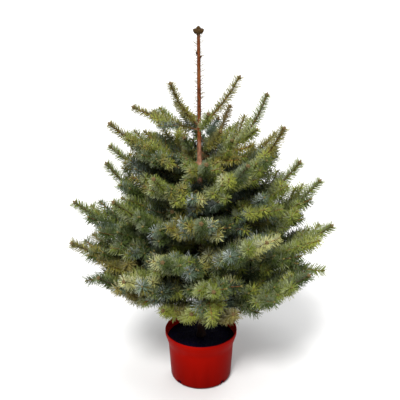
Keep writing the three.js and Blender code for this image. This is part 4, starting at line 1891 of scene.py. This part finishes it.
@dataclass
class Compost:
    """The compost: a rough crumbly surface in the pot, with loose crumbs on it."""

    pot: Pot
    gap: float = 0.0003  # to the pot's wall
    top: float = field(default_factory=lambda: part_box("soil")[1].z)
    rim: float = 0.0034  # how far the edge lies below the middle
    rings: int = 34
    sides: int = 120
    lump: float = 0.0019
    octaves: tuple[Span, ...] = ((60, 0.7), (170, 0.5), (430, 0.3))  # lumps a metre, and their weight
    crumb_density: float = 52_000.0  # crumbs a square metre
    crumb_sizes: Span = (0.0008, 0.0040)
    seed: int = 11

    def wall(self) -> Line:
        """Gives the line of the compost's side, from its underside up to its surface.

        Returns:
            The line.
        """
        line = [(radius - self.gap, height + self.gap) for radius, height in self.pot.inner_line()]
        edge = self.top - self.rim
        below = [point for point in line if point[1] < edge - 0.003]
        radii, heights = zip(*line)
        return [*below, (float(np.interp(edge, heights, radii)), edge)]

    def surface(self, share: float, radius: float, angle: float) -> float:
        """Finds how high the compost's surface is at a place.

        Args:
            share: How far out it is, from 0 in the middle to 1 at the edge.
            radius: The surface's radius.
            angle: The place's compass angle, in radians.

        Returns:
            The height.
        """
        place = Vector((share * radius * math.cos(angle), share * radius * math.sin(angle), 0.0))
        lumps = sum(noise.noise(place * scale) * weight for scale, weight in self.octaves)
        rise = self.rim * (1 - share**2)
        return self.top - self.rim + rise - self.lump + self.lump * lumps * min(1.0, (1 - share) * 12)

    def crumb(self) -> bpy.types.Object:
        """Makes one angular crumb, about 1 across.

        Returns:
            The pattern.
        """
        line = ((0, -0.5), (0.42, -0.3), (0.55, 0.12), (0.3, 0.42), (0, 0.5))
        crumb = lathe("crumb_pattern", line, 5)
        for number, vertex in enumerate(crumb.data.vertices):
            vertex.co *= 0.8 + 0.4 * chance(number)
        crumb.data.polygons.foreach_set("use_smooth", [False] * len(crumb.data.polygons))
        return crumb

    def build(self) -> list[bpy.types.Object]:
        """Makes the compost and its crumbs.

        Returns:
            The finished pieces.
        """
        turns = np.arange(self.sides) / self.sides * math.tau
        wall = self.wall()
        rings = []
        for radius, height in wall:
            rings.append([(radius * math.cos(a), radius * math.sin(a), height) for a in turns])
        radius = wall[-1][0]
        for step in range(1, self.rings):
            share = 1 - step / self.rings
            ring = [(share * radius * math.cos(a), share * radius * math.sin(a)) for a in turns]
            rings.append([(x, y, self.surface(share, radius, a)) for (x, y), a in zip(ring, turns)])
        ground = mesh_object("compost", np.reshape(rings, (-1, 3)), ring_faces(len(rings), self.sides))
        ground.data.materials.append(CompostFinish("moist_peat").material())
        upper = rings[len(wall) :]
        top_faces = ring_faces(len(upper), self.sides)[1:-1]
        surface = mesh_object("compost_top", np.reshape(upper, (-1, 3)), top_faces)
        crumb = self.crumb()
        peat = CompostFinish("peat_crumbs", linear(16, 12, 18), linear(40, 30, 26), linear(6, 5, 10))
        small, large = self.crumb_sizes
        crumbs = grown(
            "compost_crumbs", surface, make_crumb_tree(), Crumb=crumb, Density=self.crumb_density,
            Smallest=small, Largest=large, Seed=self.seed, Peat=peat.material(),
        )
        discard(surface)
        discard(crumb)
        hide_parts("soil")
        for piece in (ground, crumbs):
            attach(piece, BODY)
        return [ground, crumbs]


# ---- studio -----------------------------------------------------------------------------------


@dataclass(frozen=True)
class Lamp:
    """A far soft light, which shines on the whole floor alike."""

    name: str
    turn: float  # compass angle that it shines from
    height: float  # and angle above the level
    strength: float
    softness: float  # how wide it looks
    color: Color = (1.0, 1.0, 1.0)

    def build(self) -> None:
        """Adds the light to the scene."""
        data = bpy.data.lights.new(self.name, "SUN")
        data.energy, data.angle, data.color = self.strength, math.radians(self.softness), self.color
        lamp = bpy.data.objects.new(self.name, data)
        lamp.rotation_euler = (0, math.radians(90 - self.height), math.radians(self.turn))
        bpy.context.scene.collection.objects.link(lamp)


@dataclass
class Studio:
    """A pale floor, a pale sky, soft lights and the camera."""

    floor_radius: float = 16.0
    floor_levels: Span = (-0.02, -0.0004)  # of its underside and its top
    floor_sides: int = 64
    floor_color: Color = (0.57, 0.57, 0.57)
    sky: Color = (1.0, 1.0, 1.0)
    sky_strength: tuple[float, float] = (0.42, 1.0)  # as the tree's light, and as the backdrop seen
    camera_distance: float = 2.1
    camera_height: float = 1.443
    camera_side: float = -0.003
    camera_pitch: float = 22.16
    camera_lens: float = 71.0
    lights: tuple[Lamp, ...] = (
        Lamp("key", 254.0, 51.0, 4.5, 16.0, (1.0, 0.99, 0.975)),
        Lamp("fill", 330.0, 28.0, 0.45, 40.0),
        Lamp("top", 270.0, 84.0, 1.7, 30.0),
        Lamp("back", 75.0, 42.0, 1.3, 40.0),
    )

    def build(self) -> None:
        """Adds the studio to the scene."""
        low, high = self.floor_levels
        slab = [(0, low), (self.floor_radius, low), (self.floor_radius, high), (0, high)]
        floor = lathe("floor", slab, self.floor_sides)
        floor.data.polygons.foreach_set("use_smooth", [False] * len(floor.data.polygons))
        material, _, shader = start_material("floor_paper")
        shader.inputs["Base Color"].default_value = rgba(self.floor_color)
        shader.inputs["Roughness"].default_value = 0.9
        shader.inputs["Specular IOR Level"].default_value = 0.1
        floor.data.materials.append(material)
        world = bpy.data.worlds.new("pale_sky")
        world.use_nodes = True
        graph = Graph(world.node_tree)
        seen = graph.add("ShaderNodeLightPath").outputs["Is Camera Ray"]
        sky = world.node_tree.nodes["Background"].inputs
        sky["Color"].default_value = rgba(self.sky)
        graph.tree.links.new(graph.ranged(seen, (0, 1), self.sky_strength), sky["Strength"])
        bpy.context.scene.world = world
        for light in self.lights:
            light.build()
        camera = bpy.data.objects.new("camera", bpy.data.cameras.new("camera"))
        camera.data.lens = self.camera_lens
        camera.location = (self.camera_side, -self.camera_distance, self.camera_height)
        camera.rotation_euler = (math.radians(90 - self.camera_pitch), 0, 0)
        bpy.context.scene.collection.objects.link(camera)
        bpy.context.scene.camera = camera
        bpy.context.scene.view_settings.view_transform = "Standard"


def main() -> None:
    """Builds the tree, its pot and the studio, in order."""
    Studio().build()
    growth = Growth(Stem())
    pot = Pot()
    for piece in (pot.build(), *Compost(pot).build()):
        log.info("%s: %d faces", piece.name, len(piece.data.polygons))
    wood = Wood(growth)
    for piece in (wood.trunk(), wood.limbs(), Leader(growth).buds()):
        log.info("%s: %d faces", piece.name, len(piece.data.polygons))
    Foliage(growth).build()


if __name__ == "__main__":
    main()
